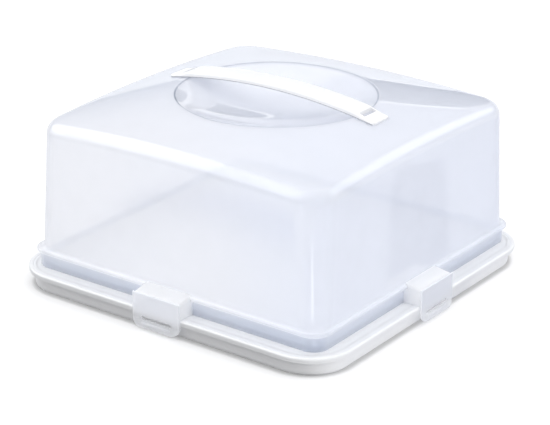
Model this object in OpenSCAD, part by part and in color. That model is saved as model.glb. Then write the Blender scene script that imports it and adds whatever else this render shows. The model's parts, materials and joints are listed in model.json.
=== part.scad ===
// Square cake carrier: a white tray, a clear domed lid with four swing clips and a white bridge handle.
// Millimetres. +Z is up, X runs along the handle, and the origin is the middle of the tray's foot.

/* [Tray] */
// Width over the tray's flange
flange_w = 350; // [330:1:400]
// Corner radius of the flange
flange_r = 43; // [36:1:60]
// Height of the flange's top face
flange_z = 18.3; // [17:0.1:24]
// Thickness of the flange and the floor
tray_t = 2.4; // [1.8:0.1:3]
// Depth of the turned-down rim, below the flange's top face
rim_drop = 5; // [4:0.1:7]
// Height of the bead along the rim
bead_h = 0.6; // [0.3:0.1:1]
// How far the foot wall stands in from the flange's edge
foot_inset = 5; // [4:0.5:9]
// Thickness of the foot wall
foot_t = 2.5; // [1.8:0.1:4]
// Draft of the foot wall over its height
foot_draft = 0.7; // [0:0.1:1.5]
// How far the cake floor is sunk below the flange
floor_sink = 2.4; // [1:0.1:3.5]
// From the upstand's inner face to the edge of the sunk floor
floor_margin = 6.8; // [5:0.2:30]
// Height of the upstand inside the lid's skirt
upstand_h = 5; // [3:0.5:8]
// Thickness of the upstand
upstand_t = 1.8; // [1.2:0.1:2.5]
// Thickness of the ribs under the floor
rib_t = 1.6; // [1:0.1:2.4]
// Depth of the ribs under the floor
rib_h = 4; // [2:0.5:5]
// Spacing of the ribs under the floor
rib_pitch = 46; // [30:1:60]

/* [Lid] */
// How far the lid's skirt stands in from the flange's edge
skirt_margin = 16.5; // [13:0.5:25]
// Corner radius of the skirt
skirt_r = 15; // [12:1:24]
// Wall thickness of the lid
lid_t = 1.6; // [1.2:0.1:2.2]
// Height of the ledge bead above the flange
ledge_h = 18.3; // [15:0.1:24]
// How far the ledge bead stands out from the skirt
ledge_out = 3.5; // [2:0.1:5]
// Height of the ledge bead
ledge_t = 4; // [3:0.1:6]
// Corner radius of the wall, at its foot
wall_r = 22; // [18:1:30]
// How far the wall leans in over its height
wall_lean = 2.5; // [1:0.1:5]
// Corner radius of the wall, at its top
shoulder_r = 27; // [22:1:36]
// Radius of the edge between the wall and the top
edge_r = 11; // [8:0.5:16]
// Height of the domed top over its centre, were it not dished
crown_z = 181.5; // [150:0.5:220]
// Fall of the domed top from its centre to the middle of a side
crown_fall = 18.5; // [8:0.5:24]
// Share of the corners' fall that the dome makes up again
crown_square = 0.68; // [0.4:0.02:0.9]
// Radius of the round finger dish in the top
dish_r = 93; // [70:1:100]
// Depth of the dish below its rim
dish_depth = 19; // [14:0.5:26]

/* [Handle] */
// Length of the handle
handle_l = 227; // [222:1:236]
// Width of the handle
handle_w = 26; // [20:1:34]
// Thickness of the handle
handle_t = 5; // [4:0.1:7]
// Rounding of the handle's long upper edges
handle_edge = 1.2; // [0.4:0.1:2]
// Height of the grip's underside over the dome's own centre
handle_rise = 0.5; // [0:0.1:6]
// Depth of the hollow under the grip
grip_hollow = 2.2; // [1:0.1:3]
// Thickness of the grip's side walls
grip_wall = 2.4; // [1.6:0.1:4]
// Length of the solid tab at each end
tab_l = 22; // [20:1:26]
// Distance from the handle's end to the middle of the moulding window in each tab
window_inset = 14.5; // [13.5:0.5:15.5]
// Length of a window, across the handle
window_l = 19; // [14:1:20]
// Width of a window, along the handle
window_w = 6; // [4:0.5:7]
// Width of the snap leg under each tab
leg_w = 14; // [8:1:18]
// Thickness of a snap leg
leg_t = 2.2; // [1.6:0.1:2.6]
// Reach of the barb on a snap leg
barb = 1; // [0.6:0.1:1.4]

/* [Clips] */
// Width of a clip's flap
clip_w = 52; // [36:1:70]
// Length of a flap, from its hinge line to its tip
clip_l = 31; // [28:0.5:32]
// Thickness of a flap
clip_t = 1.4; // [1:0.1:2]
// Rounding of the flap's lower corners
clip_r = 9; // [5:0.5:12]
// How far the finger lip flares out
lip_out = 1.4; // [0.5:0.1:2.5]
// Width of the bead around the flap's edge
clip_bead = 1.4; // [0.8:0.1:2]
// How far that bead and the grip ridges stand proud of the flap
clip_relief = 0.4; // [0.2:0.05:0.6]
// Number of grip ridges on the finger lip
clip_ridges = 2; // [1:1:3]
// Length of the slot above the catch
slot_l = 34; // [20:1:40]
// Height of the slot above the catch
slot_h = 2.2; // [1.4:0.1:3]
// Thickness of the shoulders that carry the clips
shoulder_t = 1.5; // [1.2:0.1:2]

/* [Clearances] */
// Gap under the lid's skirt, and between the skirt and the upstand
seat_gap = 0.3; // [0.2:0.05:0.6]
// Gap at each living hinge
hinge_gap = 0.3; // [0.2:0.05:0.5]
// Gap between the rim and a closed catch
catch_gap = 0.15; // [0.1:0.05:0.3]
// Gap between a flap's plate and the rim
flap_gap = 0.7; // [0.5:0.05:1.2]
// Gap around a snap leg and under the handle's tabs
snap_gap = 0.3; // [0.2:0.05:0.5]

/* [Hidden] */

$fn = 96;
eps = 0.01;
white = "#f4f5f7";
milky = "#dfe6f4";

// Tray
flange_half = flange_w / 2;
flange_c = flange_half - flange_r;
bead_w = 4.5;
rim_step = 0.7;
rim_wall = 1.8;
foot_half = flange_half - foot_inset;
floor_top = flange_z - floor_sink;
floor_under = floor_top - tray_t;
floor_r = 18;

// Lid, from its skirt up
skirt_half = flange_half - skirt_margin;
skirt_z = flange_z + seat_gap;
ledge_z = flange_z + ledge_h;
wall_half = skirt_half - 0.4;
wall_z = ledge_z + 4.5;
top_half = wall_half - wall_lean;
fall_half = top_half - edge_r;
dish_fillet = 1.5;
dish_z = crown(dish_r, 0) - dish_depth;

// Upstand of the tray, inside the skirt
upstand_half = skirt_half - lid_t - seat_gap;
upstand_r = skirt_r - lid_t - seat_gap;
floor_half = upstand_half - upstand_t - floor_margin;
rib_margin = 8;

// Clips, as distances outwards from the middle of the part
flap_in = flange_half + flap_gap;
hinge_d = flap_in + clip_t / 2;
hinge_z = ledge_z - 2.6;
shoulder_end = flap_in - hinge_gap;
catch_in = flange_half + catch_gap;
catch_z = flange_z - rim_drop - 0.3;
slot_z = catch_z - slot_h - 0.2;
clip_z = hinge_z - clip_l;
lip_z = slot_z - 1;
lip_bend = 0.6;
lip_tip = 1.6;
flap_reach = 4 * clip_t + 2 * lip_out;

// Handle, as an arc whose ends lie on the dome
tab_x = handle_l / 2;
grip_z = crown_z + handle_rise;
end_z = crown(tab_x, handle_w / 2) + snap_gap;
arc_drop = max(grip_z - crown(tab_x, 0) - snap_gap, 2);
arc_r = (tab_x * tab_x + arc_drop * arc_drop) / (2 * arc_drop);
arc_z = grip_z - arc_r;
window_x = tab_x - window_inset;
leg_x = window_x + window_w / 2 + leg_t / 2;
leg_z = crown(leg_x, 0) - lid_t - snap_gap;

// Height of the domed top's outer face over a point of the plan
function crown(x, y) =
    let (u = pow(x / fall_half, 2), v = pow(y / fall_half, 2))
    crown_z - crown_fall * (u + v - crown_square * u * v);

// Rounded square in plan, made of straight sides and true arcs
module rounded_square(half, r) {
    square([2 * half, 2 * (half - r)], center = true);
    square([2 * (half - r), 2 * half], center = true);
    for (x = [-1, 1], y = [-1, 1])
        translate([x * (half - r), y * (half - r)])
            circle(r);
}

// Wall of the given height and thickness that follows a rounded square
module square_wall(half, r, t, z0, h) {
    translate([0, 0, z0])
        linear_extrude(h)
            difference() {
                rounded_square(half, r);
                rounded_square(half - t, max(r - t, 1));
            }
}

// Sweeps a profile, drawn as [half width, height], round a square whose corner arcs are centred at c
module sweep_square(c) {
    for (a = [0:90:270])
        rotate(a) {
            rotate([90, 0, 0])
                linear_extrude(2 * c, center = true)
                    children();
            translate([c, c, 0])
                rotate_extrude(angle = 90)
                    translate([-c, 0])
                        children();
        }
}

// Tray

// Flange edge: a rounded bead on top, a step below it and the turned-down rim
module rim_profile() {
    top = flange_z;
    low = flange_z - rim_drop;
    polygon([
        [foot_half - foot_t, top],
        [flange_half - bead_w, top],
        [flange_half - bead_w + 0.8, top + bead_h * 0.8],
        [flange_half - bead_w / 2, top + bead_h],
        [flange_half - 1.2, top + bead_h * 0.7],
        [flange_half - 0.3, top - 0.3],
        [flange_half, top - 1.2],
        [flange_half, top - rim_drop / 2],
        [flange_half - rim_step, top - rim_drop / 2 - 0.3],
        [flange_half - rim_step, low],
        [flange_half - rim_step - rim_wall, low],
        [flange_half - rim_step - rim_wall, top - tray_t],
        [foot_half - foot_t, top - tray_t]
    ]);
}

// Foot wall, leaning in towards the ground, with a rounded outer edge
module foot_profile() {
    polygon([
        [foot_half, flange_z - tray_t],
        [foot_half - foot_draft, 1.4],
        [foot_half - foot_draft - 0.4, 0.4],
        [foot_half - foot_draft - 1.2, 0],
        [foot_half - foot_draft - foot_t, 0],
        [foot_half - foot_t, flange_z - tray_t]
    ]);
}

// Floor plate with a sunk cake floor and a sloping step round it
module tray_floor() {
    slope = 3;
    translate([0, 0, flange_z - tray_t])
        linear_extrude(tray_t)
            difference() {
                rounded_square(foot_half - foot_t / 2, foot_half - foot_t / 2 - flange_c);
                rounded_square(floor_half + slope - eps, floor_r + slope - eps);
            }
    translate([0, 0, floor_under])
        linear_extrude(tray_t)
            rounded_square(floor_half + eps, floor_r + eps);
    sweep_square(floor_half - floor_r)
        polygon([
            [floor_half, floor_top],
            [floor_half, floor_under],
            [floor_half + slope, flange_z - tray_t],
            [floor_half + slope, flange_z]
        ]);
}

// Ribs under the floor, as a square lattice with a ring round it
module floor_ribs() {
    span = floor_half - rib_margin;
    reach = span - rib_t / 2;
    count = floor(reach / rib_pitch);
    for (i = [-count:count], turn = [0, 90])
        rotate(turn)
            translate([i * rib_pitch, 0, floor_under - rib_h / 2 + eps])
                cube([rib_t, 2 * reach, rib_h + 2 * eps], center = true);
    square_wall(span, floor_r, rib_t, floor_under - rib_h, rib_h + eps);
}

module base_tray() {
    color(white) {
        sweep_square(flange_c)
            rim_profile();
        sweep_square(flange_c)
            foot_profile();
        tray_floor();
        floor_ribs();
        square_wall(upstand_half, upstand_r, upstand_t, flange_z - eps, upstand_h + eps);
    }
}

// Lid

side_steps = 7;
arc_steps = 6;
side_span = 41;

// Points of a rounded square at the given half width and corner radius, spread alike on every ring
function quarter_side(half, r, turn) = [
    for (i = [-side_steps:side_steps])
        let (flat = half - r, a = i * side_span / side_steps, y = flat * tan(a) / tan(side_span))
        [half * cos(turn) - y * sin(turn), half * sin(turn) + y * cos(turn)]
];
function quarter_corner(half, r, turn) = [
    for (i = [1:arc_steps - 1])
        let (a = i * 90 / arc_steps, x = half - r + r * cos(a), y = half - r + r * sin(a))
        [x * cos(turn) - y * sin(turn), x * sin(turn) + y * cos(turn)]
];
function ring_plan(half, r) = [
    for (turn = [0:90:270])
        each concat(quarter_side(half, r, turn), quarter_corner(half, r, turn))
];

// Ring at one height, ring that hangs below the dome by a drop, and the rings of the dished top
function flat_ring(half, r, z) = [for (p = ring_plan(half, r)) [p.x, p.y, z]];
function dome_ring(half, r, drop) = [for (p = ring_plan(half, r)) [p.x, p.y, crown(p.x, p.y) - drop]];
function bearing(p) = [p.x, p.y] / norm([p.x, p.y]);
function panel_ring(half, r, circle_r, share, drop) = [
    for (p = ring_plan(half, r))
        let (q = bearing(p) * circle_r, x = p.x + (q.x - p.x) * share, y = p.y + (q.y - p.y) * share)
        [x, y, crown(x, y) - drop]
];
function dish_ring(half, r, circle_r, drop) = [
    for (p = ring_plan(half, r))
        let (b = bearing(p), s = pow(circle_r / dish_r, 2), rim = crown(b.x * dish_r, b.y * dish_r))
        [b.x * circle_r, b.y * circle_r, dish_z + (rim - dish_z) * s - drop]
];

// Rings of one skin, from the skirt's lower edge to the middle of the dish; t is 0 outside
edge_angles = [0, 22, 45, 67, 90];
dish_steps = [0.985, 0.86, 0.66, 0.42, 0.18];
function edge_rings(t) = [
    for (a = edge_angles)
        let (e = edge_r - t, out = e * cos(a), half = fall_half + out)
        dome_ring(half, max(shoulder_r - edge_r + out, 1), t + e * (1 - sin(a)))
];
function top_rings(t) =
    let (half = fall_half, r = max(shoulder_r - edge_r, 1), rim_r = dish_r - t / 2)
    concat(
        [for (s = [0.35, 0.7]) panel_ring(half, r, rim_r + dish_fillet, s, t)],
        [panel_ring(half, r, rim_r + dish_fillet, 1, t)],
        [panel_ring(half, r, rim_r + 0.4, 1, t + 0.35)],
        [for (s = dish_steps) dish_ring(half, r, s * (dish_r - t / 4), t)]
    );
outer_rings = concat(
    [
        flat_ring(skirt_half, skirt_r, skirt_z),
        flat_ring(skirt_half, skirt_r, ledge_z - ledge_t),
        flat_ring(skirt_half + ledge_out - 0.6, skirt_r + ledge_out - 0.6, ledge_z - ledge_t + 0.8),
        flat_ring(skirt_half + ledge_out, skirt_r + ledge_out, ledge_z - ledge_t / 2),
        flat_ring(skirt_half + ledge_out - 0.6, skirt_r + ledge_out - 0.6, ledge_z - 0.6),
        flat_ring(skirt_half + ledge_out - 1.8, skirt_r + ledge_out - 1.8, ledge_z),
        flat_ring(wall_half + 1.3, skirt_r + 3, ledge_z + 0.5),
        flat_ring(wall_half + 0.4, (skirt_r + wall_r) / 2, ledge_z + 1.9),
        flat_ring(wall_half, wall_r, wall_z)
    ],
    edge_rings(0),
    top_rings(0)
);
inner_rings = concat(
    [
        flat_ring(skirt_half - lid_t, skirt_r - lid_t, skirt_z),
        flat_ring(skirt_half - lid_t, skirt_r - lid_t, ledge_z - 0.6),
        flat_ring(wall_half - lid_t, wall_r - lid_t, wall_z)
    ],
    edge_rings(lid_t),
    top_rings(lid_t)
);

// Closed shell: the outer skin, the inner skin turned the other way and the strip that joins their lower edges
ring_n = len(outer_rings[0]);
outer_n = len(outer_rings);
inner_n = len(inner_rings);
outer_tip = ring_n * (outer_n + inner_n);
inner_tip = outer_tip + 1;
function strip(a, b) = [
    for (i = [0:ring_n - 1], half = [0, 1])
        let (j = (i + 1) % ring_n)
        half == 0 ? [a * ring_n + i, b * ring_n + i, b * ring_n + j] : [a * ring_n + i, b * ring_n + j, a * ring_n + j]
];
function cap(a, tip, inward) = [
    for (i = [0:ring_n - 1])
        let (j = (i + 1) % ring_n)
        inward ? [a * ring_n + j, tip, a * ring_n + i] : [a * ring_n + i, tip, a * ring_n + j]
];

module lid_shell() {
    rings = concat(outer_rings, inner_rings);
    points = concat([for (ring = rings) each ring], [[0, 0, dish_z], [0, 0, dish_z - lid_t]]);
    faces = concat(
        [for (k = [0:outer_n - 2]) each strip(k, k + 1)],
        [for (k = [outer_n:outer_n + inner_n - 2]) each strip(k + 1, k)],
        strip(outer_n, 0),
        cap(outer_n - 1, outer_tip, false),
        cap(outer_n + inner_n - 1, inner_tip, true)
    );
    polyhedron(points, faces, convexity = 6);
}

// Shoulder over one clip: a sloping top plate between two cheeks that stand over the flange
module clip_shoulder() {
    root = skirt_half - lid_t / 2;
    slope = 0.17;
    front = hinge_z + clip_t / 2 - 0.1;
    rise = front + (shoulder_end - root) * slope;
    foot = flange_z + bead_h + seat_gap;
    rotate([90, 0, 90])
        linear_extrude(clip_w, center = true)
            polygon([
                [-root, rise],
                [-shoulder_end, front],
                [-shoulder_end, front - shoulder_t],
                [-root, rise - shoulder_t]
            ]);
    for (side = [-1, 1])
        translate([side * (clip_w - shoulder_t) / 2, 0, 0])
            rotate([90, 0, 90])
                linear_extrude(shoulder_t, center = true)
                    polygon([
                        [-root, rise - eps],
                        [-shoulder_end, front - eps],
                        [-shoulder_end, foot],
                        [-root, foot]
                    ]);
}

module lid() {
    color(milky)
        difference() {
            union() {
                lid_shell();
                for (a = [0:90:270])
                    rotate(a)
                        clip_shoulder();
            }
            for (side = [-1, 1])
                translate([side * leg_x, 0, leg_z])
                    cube([leg_t + 2 * snap_gap, leg_w + 2 * snap_gap, 6 * lid_t], center = true);
        }
}

// Handle

// Sector of a ring that follows the grip's arc, to the given half length, with its outer edges rounded
module arc_bar(inner, outer, width, reach, r) {
    a = asin(reach / arc_r);
    translate([0, 0, arc_z])
        rotate([90, 0, 0])
            rotate(90 - a)
                rotate_extrude(angle = 2 * a, $fn = 720)
                    translate([arc_r, 0]) {
                        translate([inner, -width / 2])
                            square([outer - inner - r, width]);
                        translate([inner, r - width / 2])
                            square([outer - inner, width - 2 * r]);
                        for (side = [-1, 1])
                            translate([outer - r, side * (width / 2 - r)])
                                circle(r, $fn = 32);
                    }
}

// Outline of the handle in plan, a little wider than the bar that it trims
module handle_plan() {
    r = 3;
    half = handle_w / 2 + 0.05;
    square([handle_l - 2 * r, 2 * half], center = true);
    square([handle_l, 2 * (half - r)], center = true);
    for (x = [-1, 1], y = [-1, 1])
        translate([x * (tab_x - r), y * (half - r)])
            circle(r);
}

// Window in a tab, over the barb that the mould has to clear
module tab_window() {
    r = 1.2;
    translate([window_x, 0, grip_z - arc_drop - handle_t])
        linear_extrude(arc_drop + 3 * handle_t) {
            square([window_w - 2 * r, window_l], center = true);
            square([window_w, window_l - 2 * r], center = true);
            for (x = [-1, 1], y = [-1, 1])
                translate([x * (window_w / 2 - r), y * (window_l / 2 - r)])
                    circle(r);
        }
}

// Snap leg that drops through the lid's slot and hooks under it
module snap_leg() {
    root = arc_z + sqrt(arc_r * arc_r - leg_x * leg_x) + handle_t / 2;
    under = crown(leg_x + leg_t + barb, 0) - lid_t - snap_gap;
    translate([leg_x, leg_w / 2, 0])
        rotate([90, 0, 0])
            linear_extrude(leg_w)
                polygon([
                    [-leg_t / 2, root],
                    [-leg_t / 2, under - 3],
                    [leg_t / 2 - 0.6, under - 3],
                    [leg_t / 2 + barb, under - 0.8],
                    [leg_t / 2 + barb, under],
                    [leg_t / 2, under],
                    [leg_t / 2, root]
                ]);
}

module handle() {
    color(white)
        difference() {
            union() {
                intersection() {
                    arc_bar(0, handle_t, handle_w, tab_x + 4, handle_edge);
                    translate([0, 0, end_z - 3 * handle_t])
                        linear_extrude(arc_drop + 6 * handle_t)
                            handle_plan();
                }
                for (a = [0, 180])
                    rotate(a)
                        snap_leg();
            }
            arc_bar(-1, grip_hollow, handle_w - 2 * grip_wall, tab_x - tab_l, 0.5);
            for (a = [0, 180])
                rotate(a)
                    tab_window();
        }
}

// Clips

// Flap of one clip, hanging from its hinge line in front of the tray's rim, grown outwards by a relief
module flap(relief) {
    out = flap_in + clip_t + relief;
    rotate([90, 0, 90])
        linear_extrude(clip_w, center = true)
            polygon([
                [-flap_in, hinge_z],
                [-flap_in, catch_z + eps],
                [-catch_in, catch_z - 0.3],
                [-catch_in, catch_z - 0.9],
                [-flap_in, slot_z - 0.6],
                [-flap_in - lip_out, clip_z + 1],
                [-flap_in - lip_out - 0.5, clip_z],
                [-out - lip_out + 0.3, clip_z],
                [-out - lip_out, clip_z + 0.6],
                [-out - lip_out, clip_z + lip_tip],
                [-out - lip_bend, lip_z - 1],
                [-out, lip_z],
                [-out, hinge_z]
            ]);
}

// Outline of a flap from the front, drawn in by an inset, with its lower corners rounded
module flap_outline(inset) {
    half = clip_w / 2 - inset;
    r = clip_r - inset;
    low = clip_z + inset;
    translate([-half, low + r])
        square([2 * half, hinge_z + clip_t - low - r]);
    translate([-half + r, low - eps])
        square([2 * (half - r), hinge_z + clip_t - low]);
    for (side = [-1, 1])
        translate([side * (half - r), low + r])
            circle(r);
}

// Raised bead along the flap's sides and its rounded tip
module flap_bead() {
    intersection() {
        flap(clip_relief);
        translate([0, -flange_half, 0])
            rotate([90, 0, 0])
                linear_extrude(flap_reach)
                    difference() {
                        flap_outline(0);
                        flap_outline(clip_bead);
                    }
    }
}

// Fine grip ridges across the finger lip, below the slot
module grip_ridges() {
    low = clip_z + lip_tip + 0.6;
    high = lip_z - 1;
    for (i = [1:clip_ridges]) {
        share = i / (clip_ridges + 1);
        reach = flap_in + clip_t + lip_out + (lip_bend - lip_out) * share;
        translate([0, -reach, low + (high - low) * share])
            rotate([0, 90, 0])
                cylinder(r = clip_relief, h = slot_l, center = true, $fn = 24);
    }
}

// Slot with round ends, above the catch
module flap_slot() {
    translate([0, -flange_half, slot_z + slot_h / 2])
        rotate([90, 0, 0])
            linear_extrude(flap_reach) {
                square([slot_l - slot_h, slot_h], center = true);
                for (side = [-1, 1])
                    translate([side * (slot_l - slot_h) / 2, 0])
                        circle(slot_h / 2);
            }
}

module clip() {
    difference() {
        union() {
            intersection() {
                flap(0);
                translate([0, -flange_half, 0])
                    rotate([90, 0, 0])
                        linear_extrude(flap_reach)
                            flap_outline(0);
            }
            flap_bead();
            grip_ridges();
            translate([0, -hinge_d, hinge_z])
                rotate([0, 90, 0])
                    cylinder(d = clip_t, h = clip_w, center = true);
        }
        flap_slot();
    }
}

module clip_front() {
    color(milky)
        clip();
}

module clip_right() {
    color(milky)
        rotate(90)
            clip();
}

module clip_back() {
    color(milky)
        rotate(180)
            clip();
}

module clip_left() {
    color(milky)
        rotate(270)
            clip();
}

base_tray();
lid();
handle();
clip_front();
clip_right();
clip_back();
clip_left();
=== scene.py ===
"""Looks of a square cake carrier: a white tray, a milky domed lid with four swing clips, and a bridge handle.

Sizes are in millimetres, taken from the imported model's own boxes or from the few fields of each class, and
meshes are written in metres in the model's frame.
"""

import json
import logging
import math
from dataclasses import dataclass, field
from enum import Enum

import bmesh
import bpy
from mathutils import Matrix, Vector

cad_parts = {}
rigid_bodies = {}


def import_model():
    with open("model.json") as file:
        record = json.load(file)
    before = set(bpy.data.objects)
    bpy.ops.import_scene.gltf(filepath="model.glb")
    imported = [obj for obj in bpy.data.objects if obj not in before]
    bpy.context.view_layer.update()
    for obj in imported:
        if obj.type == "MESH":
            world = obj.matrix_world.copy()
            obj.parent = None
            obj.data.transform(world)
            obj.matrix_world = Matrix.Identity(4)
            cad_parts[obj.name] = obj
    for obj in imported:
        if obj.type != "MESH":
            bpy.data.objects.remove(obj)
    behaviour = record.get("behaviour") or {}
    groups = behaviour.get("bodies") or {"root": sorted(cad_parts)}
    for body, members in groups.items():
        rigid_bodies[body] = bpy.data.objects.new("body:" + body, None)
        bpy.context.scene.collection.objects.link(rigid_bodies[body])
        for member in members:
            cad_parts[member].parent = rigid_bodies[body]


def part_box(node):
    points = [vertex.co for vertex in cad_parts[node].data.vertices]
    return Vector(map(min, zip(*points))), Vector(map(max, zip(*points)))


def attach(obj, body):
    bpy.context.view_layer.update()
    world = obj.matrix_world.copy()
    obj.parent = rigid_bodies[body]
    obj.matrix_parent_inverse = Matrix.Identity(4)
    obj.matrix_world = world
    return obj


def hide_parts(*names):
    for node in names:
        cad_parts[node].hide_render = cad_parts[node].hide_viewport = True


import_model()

MM = 0.001
log = logging.getLogger("cake_carrier")

Point = tuple[float, float, float]
Plan = list[tuple[float, float]]


class Slot(Enum):
    """Material slots of the record."""

    TRAY = "white_plastic"
    HANDLE = "white_handle"
    LID = "clear_lid"
    CLIP = "clear_clip"


class Side(Enum):
    """The four sides of the carrier, as quarter turns from the front."""

    FRONT = 0
    RIGHT = 1
    BACK = 2
    LEFT = 3

    @property
    def node(self) -> str:
        """Name of the clip's node and body on this side."""
        return f"clip_{self.name.lower()}"


def low(node: str) -> Vector:
    """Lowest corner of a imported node, in millimetres."""
    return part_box(node)[0] / MM


def high(node: str) -> Vector:
    """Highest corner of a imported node, in millimetres."""
    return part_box(node)[1] / MM


# Meshes


@dataclass(frozen=True)
class RoundedSquare:
    """Plan outline of straight sides and corner arcs, with the same number of points at every size."""

    side_steps: int = 24
    arc_steps: int = 14
    span: float = math.radians(41)

    def ring(self, half: float, r: float) -> Plan:
        """Points of one outline, anticlockwise from the middle of the right side.

        Args:
            half: Half the width over the flat sides.
            r: Radius of the corners.

        Returns:
            The outline's points.
        """
        points: Plan = []
        for quarter in range(4):
            c, s = round(math.cos(quarter * math.pi / 2)), round(math.sin(quarter * math.pi / 2))
            local = [
                (half, (half - r) * math.tan(i * self.span / self.side_steps) / math.tan(self.span))
                for i in range(-self.side_steps, self.side_steps + 1)
            ]
            for i in range(1, self.arc_steps):
                a = i * math.pi / 2 / self.arc_steps
                local.append((half - r + r * math.cos(a), half - r + r * math.sin(a)))
            points += [(x * c - y * s, x * s + y * c) for x, y in local]
        return points

    def towards_circle(self, half: float, r: float, circle: float, share: float) -> Plan:
        """Outline drawn part of the way towards a circle about the middle.

        Args:
            half: Half the width of the outer outline.
            r: Its corner radius.
            circle: Radius of the circle.
            share: 0 for the outline itself and 1 for the circle.

        Returns:
            The outline's points.
        """
        points: Plan = []
        for x, y in self.ring(half, r):
            reach = math.hypot(x, y)
            points.append((x + (x / reach * circle - x) * share, y + (y / reach * circle - y) * share))
        return points


class Builder:
    """Collects points and faces of one mesh and makes a plain object of them."""

    def __init__(self) -> None:
        """Starts an empty mesh."""
        self.points: list[Point] = []
        self.faces: list[tuple[int, ...]] = []

    def add_ring(self, ring: list[Point]) -> int:
        """Adds one ring of points and returns the number of its first point."""
        self.points += ring
        return len(self.points) - len(ring)

    def bridge(self, first: int, second: int, n: int) -> None:
        """Joins two rings of n points with quads."""
        for i in range(n):
            j = (i + 1) % n
            self.faces.append((first + i, first + j, second + j, second + i))

    def cap(self, first: int, n: int, tip: Point, flip: bool = False) -> None:
        """Closes a ring with a fan to a tip."""
        self.points.append(tip)
        k = len(self.points) - 1
        for i in range(n):
            j = (i + 1) % n
            self.faces.append((first + j, first + i, k) if flip else (first + i, first + j, k))

    def mesh(self, name: str) -> bpy.types.Mesh:
        """Makes a mesh in metres of what was collected."""
        made = bpy.data.meshes.new(name)
        made.from_pydata([(x * MM, y * MM, z * MM) for x, y, z in self.points], [], self.faces)
        made.update()
        return made


def link(name: str, mesh: bpy.types.Mesh) -> bpy.types.Object:
    """Puts a mesh into the scene as an object at the origin.

    Args:
        name: Name of the object.
        mesh: Its mesh, in metres.

    Returns:
        The object, in the scene.
    """
    made = bpy.data.objects.new(name, mesh)
    bpy.context.scene.collection.objects.link(made)
    return made


def outwards(mesh: bpy.types.Mesh) -> None:
    """Merges doubles and turns every face of a closed mesh outwards."""
    work = bmesh.new()
    work.from_mesh(mesh)
    bmesh.ops.remove_doubles(work, verts=work.verts, dist=0.002 * MM)
    bmesh.ops.recalc_face_normals(work, faces=work.faces)
    work.to_mesh(mesh)
    work.free()
    mesh.update()


def smooth(obj: bpy.types.Object, angle: float = 40.0) -> None:
    """Shades a mesh smooth, with its edges past an angle in degrees kept sharp."""
    obj.data.shade_smooth()
    obj.data.set_sharp_from_angle(angle=math.radians(angle))


def settle(obj: bpy.types.Object) -> bpy.types.Object:
    """Makes an object's live modifiers part of its mesh and removes them.

    Args:
        obj: An object at the origin, with modifiers.

    Returns:
        The same object with a plain mesh.
    """
    depsgraph = bpy.context.evaluated_depsgraph_get()
    depsgraph.update()
    made = bpy.data.meshes.new_from_object(obj.evaluated_get(depsgraph), depsgraph=depsgraph)
    made.name = obj.name
    obj.modifiers.clear()
    obj.data = made
    return obj


def cut(obj: bpy.types.Object, cutters: list[bpy.types.Object]) -> None:
    """Takes closed cutters out of an object and deletes them.

    Args:
        obj: The solid to cut, which keeps the result.
        cutters: The solids to take away, which are deleted.
    """
    for cutter in cutters:
        modifier = obj.modifiers.new("cut", "BOOLEAN")
        modifier.operation = "DIFFERENCE"
        modifier.solver = "EXACT"
        modifier.object = cutter
    settle(obj)
    for cutter in cutters:
        bpy.data.objects.remove(cutter)


def bevelled(obj: bpy.types.Object, width: float, segments: int = 2, angle: float = 50.0) -> None:
    """Rounds an object's sharp edges by a width in millimetres and makes that part of its mesh."""
    modifier = obj.modifiers.new("edges", "BEVEL")
    modifier.width = width * MM
    modifier.segments = segments
    modifier.limit_method = "ANGLE"
    modifier.angle_limit = math.radians(angle)
    modifier.use_clamp_overlap = True
    modifier.harden_normals = False
    settle(obj)


def joined(name: str, parts: list[bpy.types.Object]) -> bpy.types.Object:
    """Joins plain mesh objects at the origin into one object and deletes them.

    Args:
        name: Name of the joined object.
        parts: The solids to join; their own objects go.

    Returns:
        The joined object.
    """
    work = bmesh.new()
    for part in parts:
        work.from_mesh(part.data)
    mesh = bpy.data.meshes.new(name)
    work.to_mesh(mesh)
    work.free()
    for part in parts:
        bpy.data.objects.remove(part)
    return link(name, mesh)


def prism(name: str, rings: list[list[Point]]) -> bpy.types.Object:
    """Closed solid through rings of equal length, capped at both ends.

    Args:
        name: Name of the solid.
        rings: Its rings, from one end to the other.

    Returns:
        The solid, facing outwards.
    """
    made = Builder()
    starts = [made.add_ring(ring) for ring in rings]
    n = len(rings[0])
    for first, second in zip(starts, starts[1:]):
        made.bridge(first, second, n)
    for base in (starts[0], starts[-1]):
        made.faces.append(tuple(range(base, base + n)))
    solid = link(name, made.mesh(name))
    outwards(solid.data)
    return solid


def rounded_rectangle(width: float, length: float, r: float, inset: float = 0.0) -> Plan:
    """Outline of a rectangle with round corners, about the origin.

    Args:
        width: Its size along x.
        length: Its size along y.
        r: Radius of its corners.
        inset: How far it is drawn in all round.

    Returns:
        The outline's points.
    """
    points: Plan = []
    for quarter, (sx, sy) in enumerate(((1, 1), (-1, 1), (-1, -1), (1, -1))):
        for k in range(5):
            a = math.radians(quarter * 90 + k * 22.5)
            u = sx * (width / 2 - r) + (r - inset) * math.cos(a)
            v = sy * (length / 2 - r) + (r - inset) * math.sin(a)
            points.append((u, v))
    return points


# Node trees


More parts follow.
